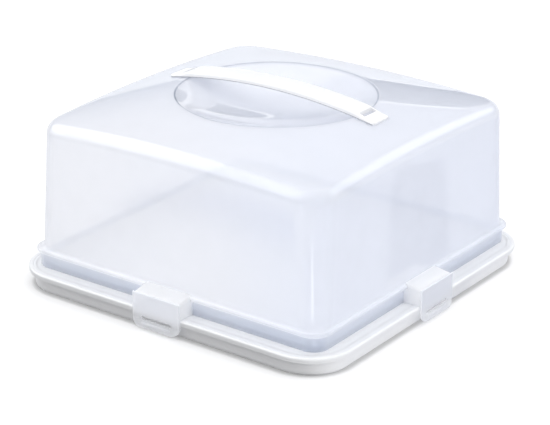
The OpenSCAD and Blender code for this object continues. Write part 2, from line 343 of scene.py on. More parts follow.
class Nodes:
    """A node tree that is built by name."""

    def __init__(self, tree: bpy.types.NodeTree) -> None:
        """Takes an empty tree."""
        self.tree = tree

    def feed(self, into: bpy.types.NodeSocket, value) -> None:
        """Links an output to an input, or sets the input to a plain value."""
        if isinstance(value, bpy.types.NodeSocket):
            self.tree.links.new(value, into)
        else:
            into.default_value = value

    def node(self, kind: str, settings: dict | None = None, **sockets) -> bpy.types.Node:
        """Adds a node, sets its properties and links or sets its inputs by name or by number.

        Args:
            kind: The node's type.
            settings: Properties of the node.
            **sockets: Input name, with _ for a blank, or s0, s1 and so on, and a value or an output.

        Returns:
            The new node.
        """
        made = self.tree.nodes.new(kind)
        for key, value in (settings or {}).items():
            setattr(made, key, value)
        for key, value in sockets.items():
            number = key[0] == "s" and key[1:].isdigit()
            self.feed(made.inputs[int(key[1:])] if number else made.inputs[key.replace("_", " ")], value)
        return made

    def math(self, operation: str, *values, clamp: bool = False) -> bpy.types.NodeSocket:
        """Adds a Math node on numbers or outputs and returns its output.

        Args:
            operation: The operation, as the node names it.
            values: Numbers or outputs, in the order of the inputs.
            clamp: Whether the result is held between 0 and 1.

        Returns:
            Output of the node.
        """
        made = self.tree.nodes.new("ShaderNodeMath")
        made.operation = operation
        made.use_clamp = clamp
        for into, value in zip(made.inputs, values):
            self.feed(into, value)
        return made.outputs[0]


class Geometry(Nodes):
    """One Geometry Nodes tree, built by name."""

    def __init__(self, name: str, sizes: dict[str, float]) -> None:
        """Starts a tree with a geometry input, named size inputs and a geometry output.

        Args:
            name: Name of the tree.
            sizes: Name and value of each size input, in metres or as a plain share.
        """
        super().__init__(bpy.data.node_groups.new(name, "GeometryNodeTree"))
        self.tree.interface.new_socket("Geometry", in_out="INPUT", socket_type="NodeSocketGeometry")
        self.tree.interface.new_socket("Geometry", in_out="OUTPUT", socket_type="NodeSocketGeometry")
        self.sizes = sizes
        self.ids: dict[str, str] = {}
        for title, value in sizes.items():
            kind = "NodeSocketInt" if isinstance(value, int) else "NodeSocketFloat"
            made = self.tree.interface.new_socket(title, in_out="INPUT", socket_type=kind)
            made.default_value = value
            self.ids[title] = made.identifier
        self.input = self.tree.nodes.new("NodeGroupInput")
        self.output = self.tree.nodes.new("NodeGroupOutput")

    def size(self, title: str) -> bpy.types.NodeSocket:
        """The group input of a named size."""
        return self.input.outputs[title]

    def finish(self, geometry: bpy.types.NodeSocket, material: bpy.types.Material) -> None:
        """Ends the tree in Realize Instances and Set Material.

        Args:
            geometry: The finished geometry.
            material: Material for all its faces.
        """
        real = self.node("GeometryNodeRealizeInstances", s0=geometry)
        dressed = self.node("GeometryNodeSetMaterial", Geometry=real.outputs[0])
        dressed.inputs["Material"].default_value = material
        self.tree.links.new(dressed.outputs[0], self.output.inputs[0])

    def apply(self, obj: bpy.types.Object) -> bpy.types.Object:
        """Runs the tree on an object and keeps the result as its plain mesh.

        Args:
            obj: The object to change.

        Returns:
            The same object.
        """
        modifier = obj.modifiers.new(self.tree.name, "NODES")
        modifier.node_group = self.tree
        for title, identifier in self.ids.items():
            modifier[identifier] = self.sizes[title]
        return settle(obj)


# Materials


class Shader(Nodes):
    """One material's or node group's tree, built by name."""

    def local(self) -> list[bpy.types.NodeSocket]:
        """The three object coordinates, in metres."""
        place = self.node("ShaderNodeTexCoord").outputs["Object"]
        return list(self.node("ShaderNodeSeparateXYZ", s0=place).outputs)

    def hypotenuse(self, x, y) -> bpy.types.NodeSocket:
        """Length of the side that closes a right angle, such as a distance from an axis."""
        return self.math("SQRT", self.math("ADD", self.math("MULTIPLY", x, x), self.math("MULTIPLY", y, y)))

    def paint(self, into: bpy.types.NodeSocket, colour: bpy.types.NodeSocket | Point) -> None:
        """Gives an input a plain colour or links it to an output."""
        if isinstance(colour, bpy.types.NodeSocket):
            self.tree.links.new(colour, into)
        else:
            into.default_value = (*colour, 1.0)

    def blend(self, share, first, second) -> bpy.types.NodeSocket:
        """Mixes two colours by a share and returns the colour.

        Args:
            share: Share of the second colour.
            first: Colour at a share of 0.
            second: Colour at a share of 1.

        Returns:
            The mixed colour.
        """
        made = self.tree.nodes.new("ShaderNodeMix")
        made.data_type = "RGBA"
        for name, value in (("Factor_Float", share), ("A_Color", first), ("B_Color", second)):
            into = next(s for s in made.inputs if s.identifier == name)
            if isinstance(value, bpy.types.NodeSocket):
                self.tree.links.new(value, into)
            else:
                into.default_value = value if isinstance(value, (int, float)) else (*value, 1.0)
        return next(s for s in made.outputs if s.identifier == "Result_Color")

    def band(self, value, start: float, end: float, to: tuple[float, float] = (0.0, 1.0)) -> bpy.types.NodeSocket:
        """Smooth step of a value from start to end, given as an output.

        Args:
            value: The output to map.
            start: Value where the change starts.
            end: Value where it ends.
            to: Results at the start and at the end.

        Returns:
            The mapped value.
        """
        made = self.node(
            "ShaderNodeMapRange", {"interpolation_type": "SMOOTHSTEP"}, s0=value, s1=start, s2=end, s3=to[0], s4=to[1]
        )
        return made.outputs[0]


def new_group(name: str, inputs: dict[str, float], outputs: dict[str, str]) -> tuple[Shader, dict, bpy.types.Node]:
    """Starts a shader node group.

    Args:
        name: Name of the group.
        inputs: Name and default of each number input.
        outputs: Name and socket type of each output.

    Returns:
        The tree, its input sockets by name and its output node.
    """
    tree = bpy.data.node_groups.new(name, "ShaderNodeTree")
    for title, value in inputs.items():
        tree.interface.new_socket(title, in_out="INPUT", socket_type="NodeSocketFloat").default_value = value
    for title, kind in outputs.items():
        tree.interface.new_socket(title, in_out="OUTPUT", socket_type=kind)
    shader = Shader(tree)
    source = tree.nodes.new("NodeGroupInput")
    sink = tree.nodes.new("NodeGroupOutput")
    return shader, {title: source.outputs[title] for title in inputs}, sink


class Effects:
    """Node groups that more than one finish uses, built once."""

    def __init__(self) -> None:
        """Builds the groups."""
        self.moulding = self._moulding()
        self.handling = self._handling()

    def apply(
        self, shader: Shader, wave: float, grain: float, rubs: float
    ) -> tuple[bpy.types.Node, bpy.types.NodeSocket]:
        """Puts both groups into a material.

        Args:
            shader: The material's tree.
            wave: Height of the soft waviness.
            grain: Height of the fine skin.
            rubs: Strength of the rub marks.

        Returns:
            The moulded skin's node and the mask of the rub marks.
        """
        skin = shader.node("ShaderNodeGroup", {"node_tree": self.moulding})
        skin.inputs["Wave Height"].default_value = wave
        skin.inputs["Grain Height"].default_value = grain
        marks = shader.node("ShaderNodeGroup", {"node_tree": self.handling})
        marks.inputs["Amount"].default_value = rubs
        return skin, marks.outputs["Mask"]

    def _moulding(self) -> bpy.types.NodeTree:
        """Soft waviness and fine skin of moulded plastic, as a height, and cloudy tone, as a mask.

        Returns:
            The node group.
        """
        shader, inputs, sink = new_group(
            "Moulded skin",
            {"Wave Scale": 12.0, "Wave Height": 0.5, "Grain Scale": 1400.0, "Grain Height": 0.1, "Cloud Scale": 9.0},
            {"Height": "NodeSocketFloat", "Cloud": "NodeSocketFloat"},
        )
        place = shader.node("ShaderNodeTexCoord").outputs["Object"]
        wave = shader.node("ShaderNodeTexNoise", Vector=place, Scale=inputs["Wave Scale"], Detail=1.0, Roughness=0.4)
        grain = shader.node("ShaderNodeTexNoise", Vector=place, Scale=inputs["Grain Scale"], Detail=2.0, Roughness=0.5)
        cloud = shader.node("ShaderNodeTexNoise", Vector=place, Scale=inputs["Cloud Scale"], Detail=3.0, Roughness=0.5)
        wavy = shader.math("MULTIPLY", wave.outputs[0], inputs["Wave Height"])
        grainy = shader.math("MULTIPLY", grain.outputs[0], inputs["Grain Height"])
        shader.tree.links.new(shader.math("ADD", wavy, grainy), sink.inputs["Height"])
        shader.tree.links.new(cloud.outputs[0], sink.inputs["Cloud"])
        return shader.tree

    def _handling(self) -> bpy.types.NodeTree:
        """Fine rub marks of use, long across the grain, as a mask.

        Returns:
            The node group.
        """
        shader, inputs, sink = new_group(
            "Rub marks", {"Scale": 60.0, "Stretch": 14.0, "Amount": 0.5}, {"Mask": "NodeSocketFloat"}
        )
        place = shader.node("ShaderNodeTexCoord").outputs["Object"]
        stretched = shader.node("ShaderNodeCombineXYZ", s0=1.0, s1=inputs["Stretch"], s2=1.0)
        run = shader.node("ShaderNodeVectorMath", {"operation": "MULTIPLY"}, s0=place, s1=stretched.outputs[0])
        marks = shader.node("ShaderNodeTexNoise", Vector=run.outputs[0], Scale=inputs["Scale"], Detail=4.0)
        few = shader.band(marks.outputs[0], 0.58, 0.72)
        shader.tree.links.new(shader.math("MULTIPLY", few, inputs["Amount"]), sink.inputs["Mask"])
        return shader.tree


def new_material(name: str) -> tuple[bpy.types.Material, Shader, bpy.types.Node]:
    """Starts a node material and returns it with its tree and its output node."""
    material = bpy.data.materials.new(name)
    material.use_nodes = True
    material.node_tree.nodes.clear()
    shader = Shader(material.node_tree)
    return material, shader, shader.node("ShaderNodeOutputMaterial")


@dataclass(frozen=True)
class WhitePlastic:
    """Opaque white moulded polypropylene with a satin gloss."""

    name: str
    colour: Point = (0.95, 0.953, 0.96)
    shade: Point = (0.93, 0.933, 0.943)
    roughness: float = 0.3
    wave: float = 0.25
    grain: float = 0.05
    rubs: float = 0.12
    subsurface: float = 0.08
    # Painted shade: a darker line along the low edge of an arched bar's sides, for the shadow where the handle sits
    # over the lid.
    shade_line_radius: float = 0.0
    shade_line_top: float = 0.0
    shade_line_out: float = 12.4
    shade_line_h: float = 0.9
    shade_line_soft: float = 0.3
    shade_line_side_soft: float = 0.2
    shade_line_colour: Point = (0.42, 0.43, 0.46)

    def material(self, effects: Effects) -> bpy.types.Material:
        """Builds the material.

        Args:
            effects: The node groups that the finishes share.

        Returns:
            The material.
        """
        material, shader, output = new_material(self.name)
        skin, marks = effects.apply(shader, self.wave, self.grain, self.rubs)
        tone = shader.blend(shader.band(skin.outputs["Cloud"], 0.35, 0.65), self.shade, self.colour)
        # Painted shade along the bar's lower side edges.
        if self.shade_line_radius > 0.0:
            tone = shader.blend(self._shade_line(shader), tone, self.shade_line_colour)
        rough = shader.math("ADD", self.roughness, marks)
        bump = shader.node("ShaderNodeBump", Height=skin.outputs["Height"], Distance=0.0002, Strength=0.35)
        plastic = shader.node(
            "ShaderNodeBsdfPrincipled", Base_Color=tone, Roughness=rough, IOR=1.49, Normal=bump.outputs[0]
        )
        plastic.inputs["Subsurface Weight"].default_value = self.subsurface
        plastic.inputs["Subsurface Radius"].default_value = (0.002, 0.002, 0.002)
        shader.tree.links.new(plastic.outputs[0], output.inputs["Surface"])
        return material

    def _shade_line(self, shader: Shader) -> bpy.types.NodeSocket:
        """Mask of a painted shade line that follows the low edge of an arched bar, where it sits over the lid, on its
        two sides only.
        """
        x, y, z = shader.local()
        r = self.shade_line_radius * MM
        across = shader.math("SUBTRACT", r * r, shader.math("MULTIPLY", x, x))
        arc = shader.math("SQRT", shader.math("MAXIMUM", across, 0.0))
        over = shader.math("SUBTRACT", shader.math("SUBTRACT", z, self.shade_line_top * MM - r), arc)
        low = shader.band(over, (self.shade_line_h - self.shade_line_soft) * MM, self.shade_line_h * MM, (1.0, 0.0))
        out = shader.math("ABSOLUTE", y)
        beside = shader.band(out, (self.shade_line_out - self.shade_line_side_soft) * MM, self.shade_line_out * MM)
        return shader.math("MULTIPLY", low, beside)


@dataclass(frozen=True)
class MilkyPlastic:
    """Translucent moulded polypropylene: clear enough to see through, with a milky haze and a glossy skin.

    Each skin of a wall hides a share of what is behind it, tints what it lets through, and hides more at a
    grazing angle, where the way through the plastic is longer.
    """

    name: str
    haze: float = 0.34
    haze_colour: Point = (0.895, 0.906, 0.942)
    tint: Point = (0.965, 0.972, 0.99)
    glow_colour: Point = (0.895, 0.906, 0.942)
    forward: float = 0.42
    scatter: float = 0.08
    roughness: float = 0.03
    wave: float = 0.15
    grain: float = 0.0
    rubs: float = 0.05
    head_on: float = 0.04
    thinnest: float = 0.25
    cloudiness: float = 0.08
    # Painted shade: in this band of heights the skirt lets less through, darker and bluer, for the shadowed gap between
    # skirt and tray.
    skirt_shade_low: float = 0.0
    skirt_shade_high: float = 0.0
    skirt_shade_soft: float = 1.3
    skirt_shade_tint: Point = (1.0, 1.0, 1.0)
    # Painted reflection: a thin dark line round the dish's rim, standing in for dark surroundings mirrored in its sharp
    # edge, and made more opaque there.
    dark_reflection_r: float = 0.0
    dark_reflection_w: float = 1.1
    dark_reflection_low: float = 150.0
    dark_reflection_share: float = 0.9
    dark_reflection_colour: Point = (0.24, 0.27, 0.34)
    # Painted light: a lighter, warmer haze and a clearer see-through in a patch low on the front wall.
    lit_patch_centre: Point = (-60.0, -160.0, 40.0)
    lit_patch_colour: Point = (0.925, 0.92, 0.922)
    lit_patch_tint: Point = (0.985, 0.985, 0.987)
    lit_patch_reach: float = 0.0

    def material(self, effects: Effects) -> bpy.types.Material:
        """Builds the material.

        Args:
            effects: The node groups that the finishes share.

        Returns:
            The material.
        """
        material, shader, output = new_material(self.name)
        skin, marks = effects.apply(shader, self.wave, self.grain, self.rubs)
        plastic = self._skin(shader, skin, marks)
        hidden = self._hidden(shader, skin)
        body, through = self.haze_colour, self.tint
        # Painted light low on the front wall.
        if self.lit_patch_reach > 0.0:
            lit_patch = self._lit_patch(shader)
            body = shader.blend(lit_patch, body, self.lit_patch_colour)
            through = shader.blend(lit_patch, through, self.lit_patch_tint)
        # Painted dark reflection round the dish's rim.
        if self.dark_reflection_r > 0.0:
            line = self._dark_reflection_line(shader, skin)
            body = shader.blend(line, body, self.dark_reflection_colour)
            hidden = shader.math("MAXIMUM", hidden, shader.math("MULTIPLY", line, self.dark_reflection_share))
        # Painted shade in the skirt band.
        if self.skirt_shade_high > self.skirt_shade_low:
            through = shader.blend(self._skirt_shade(shader), through, self.skirt_shade_tint)
        shader.paint(plastic.inputs["Base Color"], body)
        clear = shader.node("ShaderNodeBsdfTransparent")
        shader.paint(clear.inputs[0], through)
        behind = shader.node("ShaderNodeBsdfTranslucent")
        shader.paint(behind.inputs["Color"], self.glow_colour)
        milk = shader.node("ShaderNodeMixShader", s0=self.forward, s1=plastic.outputs[0], s2=behind.outputs[0])
        mix = shader.node("ShaderNodeMixShader", s0=hidden, s1=clear.outputs[0], s2=milk.outputs[0])
        shader.tree.links.new(mix.outputs[0], output.inputs["Surface"])
        return material

    def _skin(self, shader: Shader, skin: bpy.types.Node, marks: bpy.types.NodeSocket) -> bpy.types.Node:
        """Glossy plastic of the haze, with a clear coat.

        Args:
            shader: The material's tree.
            skin: Node of the moulded skin.
            marks: Mask of the rub marks.

        Returns:
            The plastic's node.
        """
        bump = shader.node("ShaderNodeBump", Height=skin.outputs["Height"], Distance=0.0003, Strength=0.25)
        rough = shader.math("ADD", self.roughness, marks)
        plastic = shader.node("ShaderNodeBsdfPrincipled", Roughness=rough, IOR=1.49, Normal=bump.outputs[0])
        plastic.inputs["Specular IOR Level"].default_value = 0.9
        plastic.inputs["Coat Weight"].default_value = 1.0
        plastic.inputs["Coat Roughness"].default_value = 0.02
        plastic.inputs["Coat IOR"].default_value = 1.7
        return plastic

    def _hidden(self, shader: Shader, skin: bpy.types.Node) -> bpy.types.NodeSocket:
        """Share that one skin hides of what is behind it, from the haze, the way through it and its mirroring.

        Args:
            shader: The material's tree.
            skin: Node of the moulded skin.

        Returns:
            The share, which is small for shadow rays so that light gets in.
        """
        facing = shader.node("ShaderNodeLayerWeight", Blend=0.5).outputs["Facing"]
        square = shader.math("MULTIPLY", facing, facing)
        fifth = shader.math("MULTIPLY", shader.math("MULTIPLY", square, square), facing)
        mirror = shader.math("MULTIPLY_ADD", fifth, 1.0 - self.head_on, self.head_on)
        span = (1.0 - self.cloudiness, 1.0 + self.cloudiness)
        cloudy = shader.band(skin.outputs["Cloud"], 0.3, 0.7, span)
        upright = shader.math("MAXIMUM", shader.math("SUBTRACT", 1.0, facing), self.thinnest)
        through = shader.math("POWER", 1.0 - self.haze, shader.math("DIVIDE", cloudy, upright))
        let_by = shader.math("MULTIPLY", through, shader.math("SUBTRACT", 1.0, mirror))
        dense = shader.math("SUBTRACT", 1.0, let_by, clamp=True)
        shadow = shader.node("ShaderNodeLightPath").outputs["Is Shadow Ray"]
        passed = shader.math("MULTIPLY_ADD", shadow, self.scatter - 1.0, 1.0)
        return shader.math("MULTIPLY", dense, passed)

    def _lit_patch(self, shader: Shader) -> bpy.types.NodeSocket:
        """Mask of the painted lighter, warmer patch low on the front wall, standing in for light coming through it."""
        place = shader.node("ShaderNodeTexCoord").outputs["Object"]
        centre = tuple(value * MM for value in self.lit_patch_centre)
        away = shader.node("ShaderNodeVectorMath", {"operation": "DISTANCE"}, s0=place, s1=centre)
        reach = self.lit_patch_reach * MM
        return shader.band(away.outputs["Value"], reach * 0.45, reach, (1.0, 0.0))

    def _dark_reflection_line(self, shader: Shader, skin: bpy.types.Node) -> bpy.types.NodeSocket:
        """Mask of the thin painted dark reflection round the dish's sharp rim, a little uneven."""
        x, y, z = shader.local()
        off = shader.math("ABSOLUTE", shader.math("SUBTRACT", shader.hypotenuse(x, y), self.dark_reflection_r * MM))
        line = shader.band(off, self.dark_reflection_w * 0.3 * MM, self.dark_reflection_w * MM, (1.0, 0.0))
        line = shader.math("MULTIPLY", line, shader.band(z, self.dark_reflection_low * MM, (self.dark_reflection_low + 1.0) * MM))
        return shader.math("MULTIPLY", line, shader.band(skin.outputs["Cloud"], 0.25, 0.5, (0.7, 1.0)))

    def _skirt_shade(self, shader: Shader) -> bpy.types.NodeSocket:
        """Mask of the band of heights where the skirt's see-through is tinted darker: painted shade for the shadowed
        gap behind it.
        """
        z = shader.local()[2]
        low, high_z, soft = self.skirt_shade_low * MM, self.skirt_shade_high * MM, self.skirt_shade_soft * MM
        rising = shader.band(z, low - soft, low)
        falling = shader.band(z, high_z, high_z + soft, (1.0, 0.0))
        return shader.math("MULTIPLY", rising, falling)


# Tray


@dataclass
class Tray:
    """The white tray: a flange with a beaded, turned-down rim, a foot wall, a sunk floor and an upstand."""

    half: float = field(default_factory=lambda: high("base_tray").x)
    upstand_top: float = field(default_factory=lambda: high("base_tray").z)
    upstand_h: float = 5.0
    corner: float = 43.0
    thick: float = 2.4
    rim_drop: float = 5.0
    bead_h: float = 0.6
    bead_w: float = 4.5
    rim_step: float = 0.7
    rim_wall: float = 1.8
    foot_inset: float = 5.0
    foot_t: float = 2.5
    foot_draft: float = 0.7
    floor_half: float = 148.0
    floor_r: float = 18.0
    floor_sink: float = 2.4
    slope: float = 3.0
    upstand_t: float = 1.8
    skirt_half: float = 158.5
    skirt_r: float = 15.0
    skirt_in: float = 1.9
    rib_t: float = 1.6
    rib_h: float = 4.0
    rib_pitch: float = 46.0
    rib_inset: float = 8.0

    @property
    def top(self) -> float:
        """Height of the flange's top face."""
        return self.upstand_top - self.upstand_h

    def rim_profile(self) -> Plan:
        """Closed section of the rim and foot wall, as distances from the flange's edge and heights."""
        top = self.top
        low_z = top - self.rim_drop
        foot = -self.foot_inset
        bead = [
            (
                -self.bead_w / 2 + self.bead_w / 2 * math.cos(math.radians(a)),
                top + self.bead_h * math.sin(math.radians(a)) ** 0.8,
            )
            for a in range(180, 40, -10)
        ]
        nose = [
            (-1.25 + 1.25 * math.cos(math.radians(a)), top - 0.95 + 1.25 * math.sin(math.radians(a)))
            for a in range(40, -1, -10)
        ]
        step = self.rim_step
        half_way = top - self.rim_drop / 2
        lip = [(0.0, half_way), (-0.12, half_way - 0.2), (-step, half_way - 0.45)]
        under = [
            (-step, low_z + 0.35),
            (-step - 0.1, low_z + 0.1),
            (-step - 0.35, low_z),
            (-step - self.rim_wall + 0.3, low_z),
            (-step - self.rim_wall, low_z + 0.3),
            (-step - self.rim_wall, top - self.thick - 0.5),
            (-step - self.rim_wall - 0.15, top - self.thick - 0.15),
            (-step - self.rim_wall - 0.5, top - self.thick),
            (foot + 0.5, top - self.thick),
            (foot + 0.15, top - self.thick - 0.15),
            (foot, top - self.thick - 0.5),
        ]
        toe, toe_h = 1.8, 3.2
        round_toe = [
            (
                foot - self.foot_draft - toe + toe * math.cos(math.radians(a)),
                toe_h - toe_h * math.sin(math.radians(a)),
            )
            for a in range(0, 91, 15)
        ]
        back = foot - self.foot_t
        inside = [(back - self.foot_draft, 0.0), (back, top - self.thick), (back, top)]
        return bead + nose + lip + under + round_toe + inside

    def rim(self, material: bpy.types.Material) -> bpy.types.Object:
        """Sweeps the rim's section round the tray.

        Args:
            material: Material of the rim.

        Returns:
            The rim.
        """
        section = self.rim_profile()
        mesh = bpy.data.meshes.new("tray_rim")
        n = len(section)
        mesh.from_pydata([(x * MM, -z * MM, 0.0) for x, z in section], [(i, (i + 1) % n) for i in range(n)], [])
        sizes = {"Half Width": self.half * MM, "Corner Radius": self.corner * MM, "Corner Steps": 28}
        sweep = Geometry("Rim sweep", sizes)
        profile = sweep.node("GeometryNodeMeshToCurve", s0=sweep.input.outputs[0])
        width = sweep.math("MULTIPLY", sweep.size("Half Width"), 2.0)
        square = sweep.node("GeometryNodeCurvePrimitiveQuadrilateral", {"mode": "RECTANGLE"}, s0=width, s1=width)
        rounded = sweep.node(
            "GeometryNodeFilletCurve",
            {"mode": "POLY"},
            Curve=square.outputs[0],
            Radius=sweep.size("Corner Radius"),
            Count=sweep.size("Corner Steps"),
        )
        tube = sweep.node("GeometryNodeCurveToMesh", Curve=rounded.outputs[0])
        sweep.tree.links.new(profile.outputs[0], tube.inputs["Profile Curve"])
        sweep.finish(tube.outputs[0], material)
        rim = sweep.apply(link("tray_rim", mesh))
        outwards(rim.data)
        smooth(rim, 50.0)
        return rim

    def floor(self, material: bpy.types.Material) -> bpy.types.Object:
        """Floor plate with its sunk middle and the upstand, as one closed shell.

        Args:
            material: Material of the floor.

        Returns:
            The floor.
        """
        top, sunk = self.top, self.top - self.floor_sink
        half, r = self.floor_half, self.floor_r
        stand, stand_r = self.skirt_half - self.skirt_in, self.skirt_r - self.skirt_in
        inner, inner_r = stand - self.upstand_t, stand_r - self.upstand_t
        edge = self.half - self.foot_inset - self.foot_t
        edge_r = edge - (self.half - self.corner)
        reach = self.slope
        rings: list[tuple[float, float, float]] = [
            (half * 0.33, half * 0.14, sunk),
            (half * 0.66, half * 0.16, sunk),
            (half - 1.2, r - 1.0, sunk),
            (half - 0.3, r - 0.3, sunk + 0.12),
            (half + reach * 0.5, r + reach * 0.5, (sunk + top) / 2),
            (half + reach + 0.3, r + reach, top - 0.12),
            (half + reach + 1.0, r + reach, top),
            (inner - 0.6, inner_r - 0.2, top),
            (inner - 0.15, inner_r, top + 0.15),
            (inner, inner_r, top + 0.6),
            (inner, inner_r, top + self.upstand_h - 0.5),
            (inner + 0.15, inner_r + 0.15, top + self.upstand_h - 0.15),
            (inner + 0.5, inner_r + 0.5, top + self.upstand_h),
            (stand - 0.5, stand_r - 0.5, top + self.upstand_h),
            (stand - 0.15, stand_r - 0.15, top + self.upstand_h - 0.15),
            (stand, stand_r, top + self.upstand_h - 0.5),
            (stand, stand_r, top + 0.4),
            (stand + 0.12, stand_r, top + 0.1),
            (stand + 0.4, stand_r, top),
            (edge - 3.0, edge_r - 3.0, top),
            (edge + 0.3, edge_r, top),
            (edge + 0.3, edge_r, top - self.thick),
            (half + reach, r + reach, top - self.thick),
            (half, r, sunk - self.thick),
            (half * 0.5, half * 0.15, sunk - self.thick),
        ]
        outline = RoundedSquare(side_steps=14, arc_steps=12)
        made = Builder()
        starts = [made.add_ring([(x, y, z) for x, y in outline.ring(h, max(c, 1.0))]) for h, c, z in rings]
        n = starts[1] - starts[0]
        for first, second in zip(starts, starts[1:]):
            made.bridge(first, second, n)
        made.cap(starts[0], n, (0.0, 0.0, sunk), flip=True)
        made.cap(starts[-1], n, (0.0, 0.0, sunk - self.thick))
        floor = link("tray_floor", made.mesh("tray_floor"))
        outwards(floor.data)
        smooth(floor, 50.0)
        floor.data.materials.append(material)
        return floor

    def ribs(self, material: bpy.types.Material) -> bpy.types.Object:
        """Square lattice of ribs under the floor, with a rib round it.

        Args:
            material: Material of the ribs.

        Returns:
            The ribs.
        """
        span = self.floor_half - self.rib_inset
        under = self.top - self.floor_sink - self.thick
        count = int((span - self.rib_t / 2) // self.rib_pitch) * 2 + 1
        ring_mesh = Builder()
        outline = RoundedSquare(side_steps=4, arc_steps=10)
        root, tip = under + 0.2, under - self.rib_h
        sections = [(0.0, root), (0.0, tip), (-self.rib_t, tip), (-self.rib_t, root)]
        starts = [
            ring_mesh.add_ring([(x, y, z) for x, y in outline.ring(span + d, self.floor_r + d)]) for d, z in sections
        ]
        n = starts[1] - starts[0]
        for first, second in zip(starts, starts[1:] + starts[:1]):
            ring_mesh.bridge(first, second, n)
        ring = link("tray_ribs", ring_mesh.mesh("tray_ribs"))
        lattice = Geometry(
            "Rib lattice",
            {
                "Rib Length": 2 * (span - self.rib_t / 2) * MM,
                "Rib Thickness": self.rib_t * MM,
                "Rib Depth": self.rib_h * MM,
                "Pitch": self.rib_pitch * MM,
                "Middle Height": (under - self.rib_h / 2) * MM,
                "Count": count,
            },
        )
        sides = [lattice.size(title) for title in ("Rib Thickness", "Rib Length", "Rib Depth")]
        size = lattice.node("ShaderNodeCombineXYZ", s0=sides[0], s1=sides[1], s2=sides[2])
        rib = lattice.node("GeometryNodeMeshCube", Size=size.outputs[0])
        steps_back = lattice.math("DIVIDE", lattice.math("SUBTRACT", 1.0, lattice.size("Count")), 2.0)
        first = lattice.math("MULTIPLY", lattice.size("Pitch"), steps_back)
        start = lattice.node("ShaderNodeCombineXYZ", s0=first, s2=lattice.size("Middle Height"))
        step = lattice.node("ShaderNodeCombineXYZ", s0=lattice.size("Pitch"))
        row = lattice.node("GeometryNodeMeshLine", {"mode": "OFFSET"}, Count=lattice.size("Count"))
        lattice.tree.links.new(start.outputs[0], row.inputs["Start Location"])
        lattice.tree.links.new(step.outputs[0], row.inputs["Offset"])
        placed = lattice.node("GeometryNodeInstanceOnPoints", Points=row.outputs[0], Instance=rib.outputs[0])
        crossed = lattice.node("GeometryNodeTransform", Geometry=placed.outputs[0])
        crossed.inputs["Rotation"].default_value = (0.0, 0.0, math.pi / 2)
        both = lattice.node("GeometryNodeJoinGeometry")
        for source in (placed.outputs[0], crossed.outputs[0], lattice.input.outputs[0]):
            lattice.tree.links.new(source, both.inputs[0])
        lattice.finish(both.outputs[0], material)
        lattice.apply(ring)
        ring.data.update()
        return ring

    def build(self, finish: bpy.types.Material) -> list[bpy.types.Object]:
        """Builds the tray's pieces, riding on the tray and standing for its node.

        Args:
            finish: Material of the piece.

        Returns:
            The pieces of the tray.
        """
        pieces = [self.rim(finish), self.floor(finish), self.ribs(finish)]
        for piece in pieces:
            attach(piece, "tray")
        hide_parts("base_tray")
        return pieces


# Lid


@dataclass
class Dome:
    """The rule of the domed top and its round dish, and the tree that lays points on it."""

    crown: float = 181.5
    fall: float = 18.5
    fall_half: float = 144.6
    square: float = 0.68
    dish_r: float = 93.0
    dish_depth: float = 19.0

    def height(self, x: float, y: float) -> float:
        """Height of the dome's outer face over a point of the plan."""
        u, v = (x / self.fall_half) ** 2, (y / self.fall_half) ** 2
        return self.crown - self.fall * (u + v - self.square * u * v)

    @property
    def dish_z(self) -> float:
        """Height of the dish's lowest point."""
        return self.height(self.dish_r, 0.0) - self.dish_depth

    def tree(self, material: bpy.types.Material) -> Geometry:
        """Tree that lifts a flat-drawn shell onto the dome and the dish.

        A point's height is its drawn height, plus its "lift" share of the dome's height over it, plus its
        "dish" share of the rise from the dish's lowest point to the rim in its direction.

        Args:
            material: Finish of the shell.

        Returns:
            The tree, ready to apply.
        """
        made = Geometry(
            "Dome and dish",
            {
                "Crown Height": self.crown * MM,
                "Crown Fall": self.fall * MM,
                "Fall Half Width": self.fall_half * MM,
                "Corner Share": self.square,
                "Dish Radius": self.dish_r * MM,
                "Dish Floor": self.dish_z * MM,
            },
        )
        place = made.node("GeometryNodeInputPosition").outputs[0]
        split = made.node("ShaderNodeSeparateXYZ", s0=place)
        x, y, z = split.outputs
        lift = made.node("GeometryNodeInputNamedAttribute", {"data_type": "FLOAT"}, Name="lift").outputs[0]
        dish = made.node("GeometryNodeInputNamedAttribute", {"data_type": "FLOAT"}, Name="dish").outputs[0]
        squares = made.math("ADD", made.math("MULTIPLY", x, x), made.math("MULTIPLY", y, y))
        reach = made.math("MAXIMUM", made.math("SQRT", squares), 1e-6)
        out = made.math("DIVIDE", made.size("Dish Radius"), reach)
        here = self._crown_nodes(made, x, y)
        rim = self._crown_nodes(made, made.math("MULTIPLY", x, out), made.math("MULTIPLY", y, out))
        domed = made.math("MULTIPLY", here, lift)
        dished = made.math("MULTIPLY", made.math("SUBTRACT", rim, made.size("Dish Floor")), dish)
        height = made.math("ADD", z, made.math("ADD", domed, dished))
        laid = made.node("ShaderNodeCombineXYZ", s0=x, s1=y, s2=height)
        moved = made.node("GeometryNodeSetPosition", Geometry=made.input.outputs[0])
        made.tree.links.new(laid.outputs[0], moved.inputs["Position"])
        made.finish(moved.outputs[0], material)
        return made

    @staticmethod
    def _crown_nodes(made: Geometry, x: bpy.types.NodeSocket, y: bpy.types.NodeSocket) -> bpy.types.NodeSocket:
        """Math nodes for the dome's height over a point."""
        shares = []
        for value in (x, y):
            part = made.math("DIVIDE", value, made.size("Fall Half Width"))
            shares.append(made.math("MULTIPLY", part, part))
        both = made.math("MULTIPLY", made.math("MULTIPLY", shares[0], shares[1]), made.size("Corner Share"))
        total = made.math("SUBTRACT", made.math("ADD", shares[0], shares[1]), both)
        return made.math("SUBTRACT", made.size("Crown Height"), made.math("MULTIPLY", made.size("Crown Fall"), total))


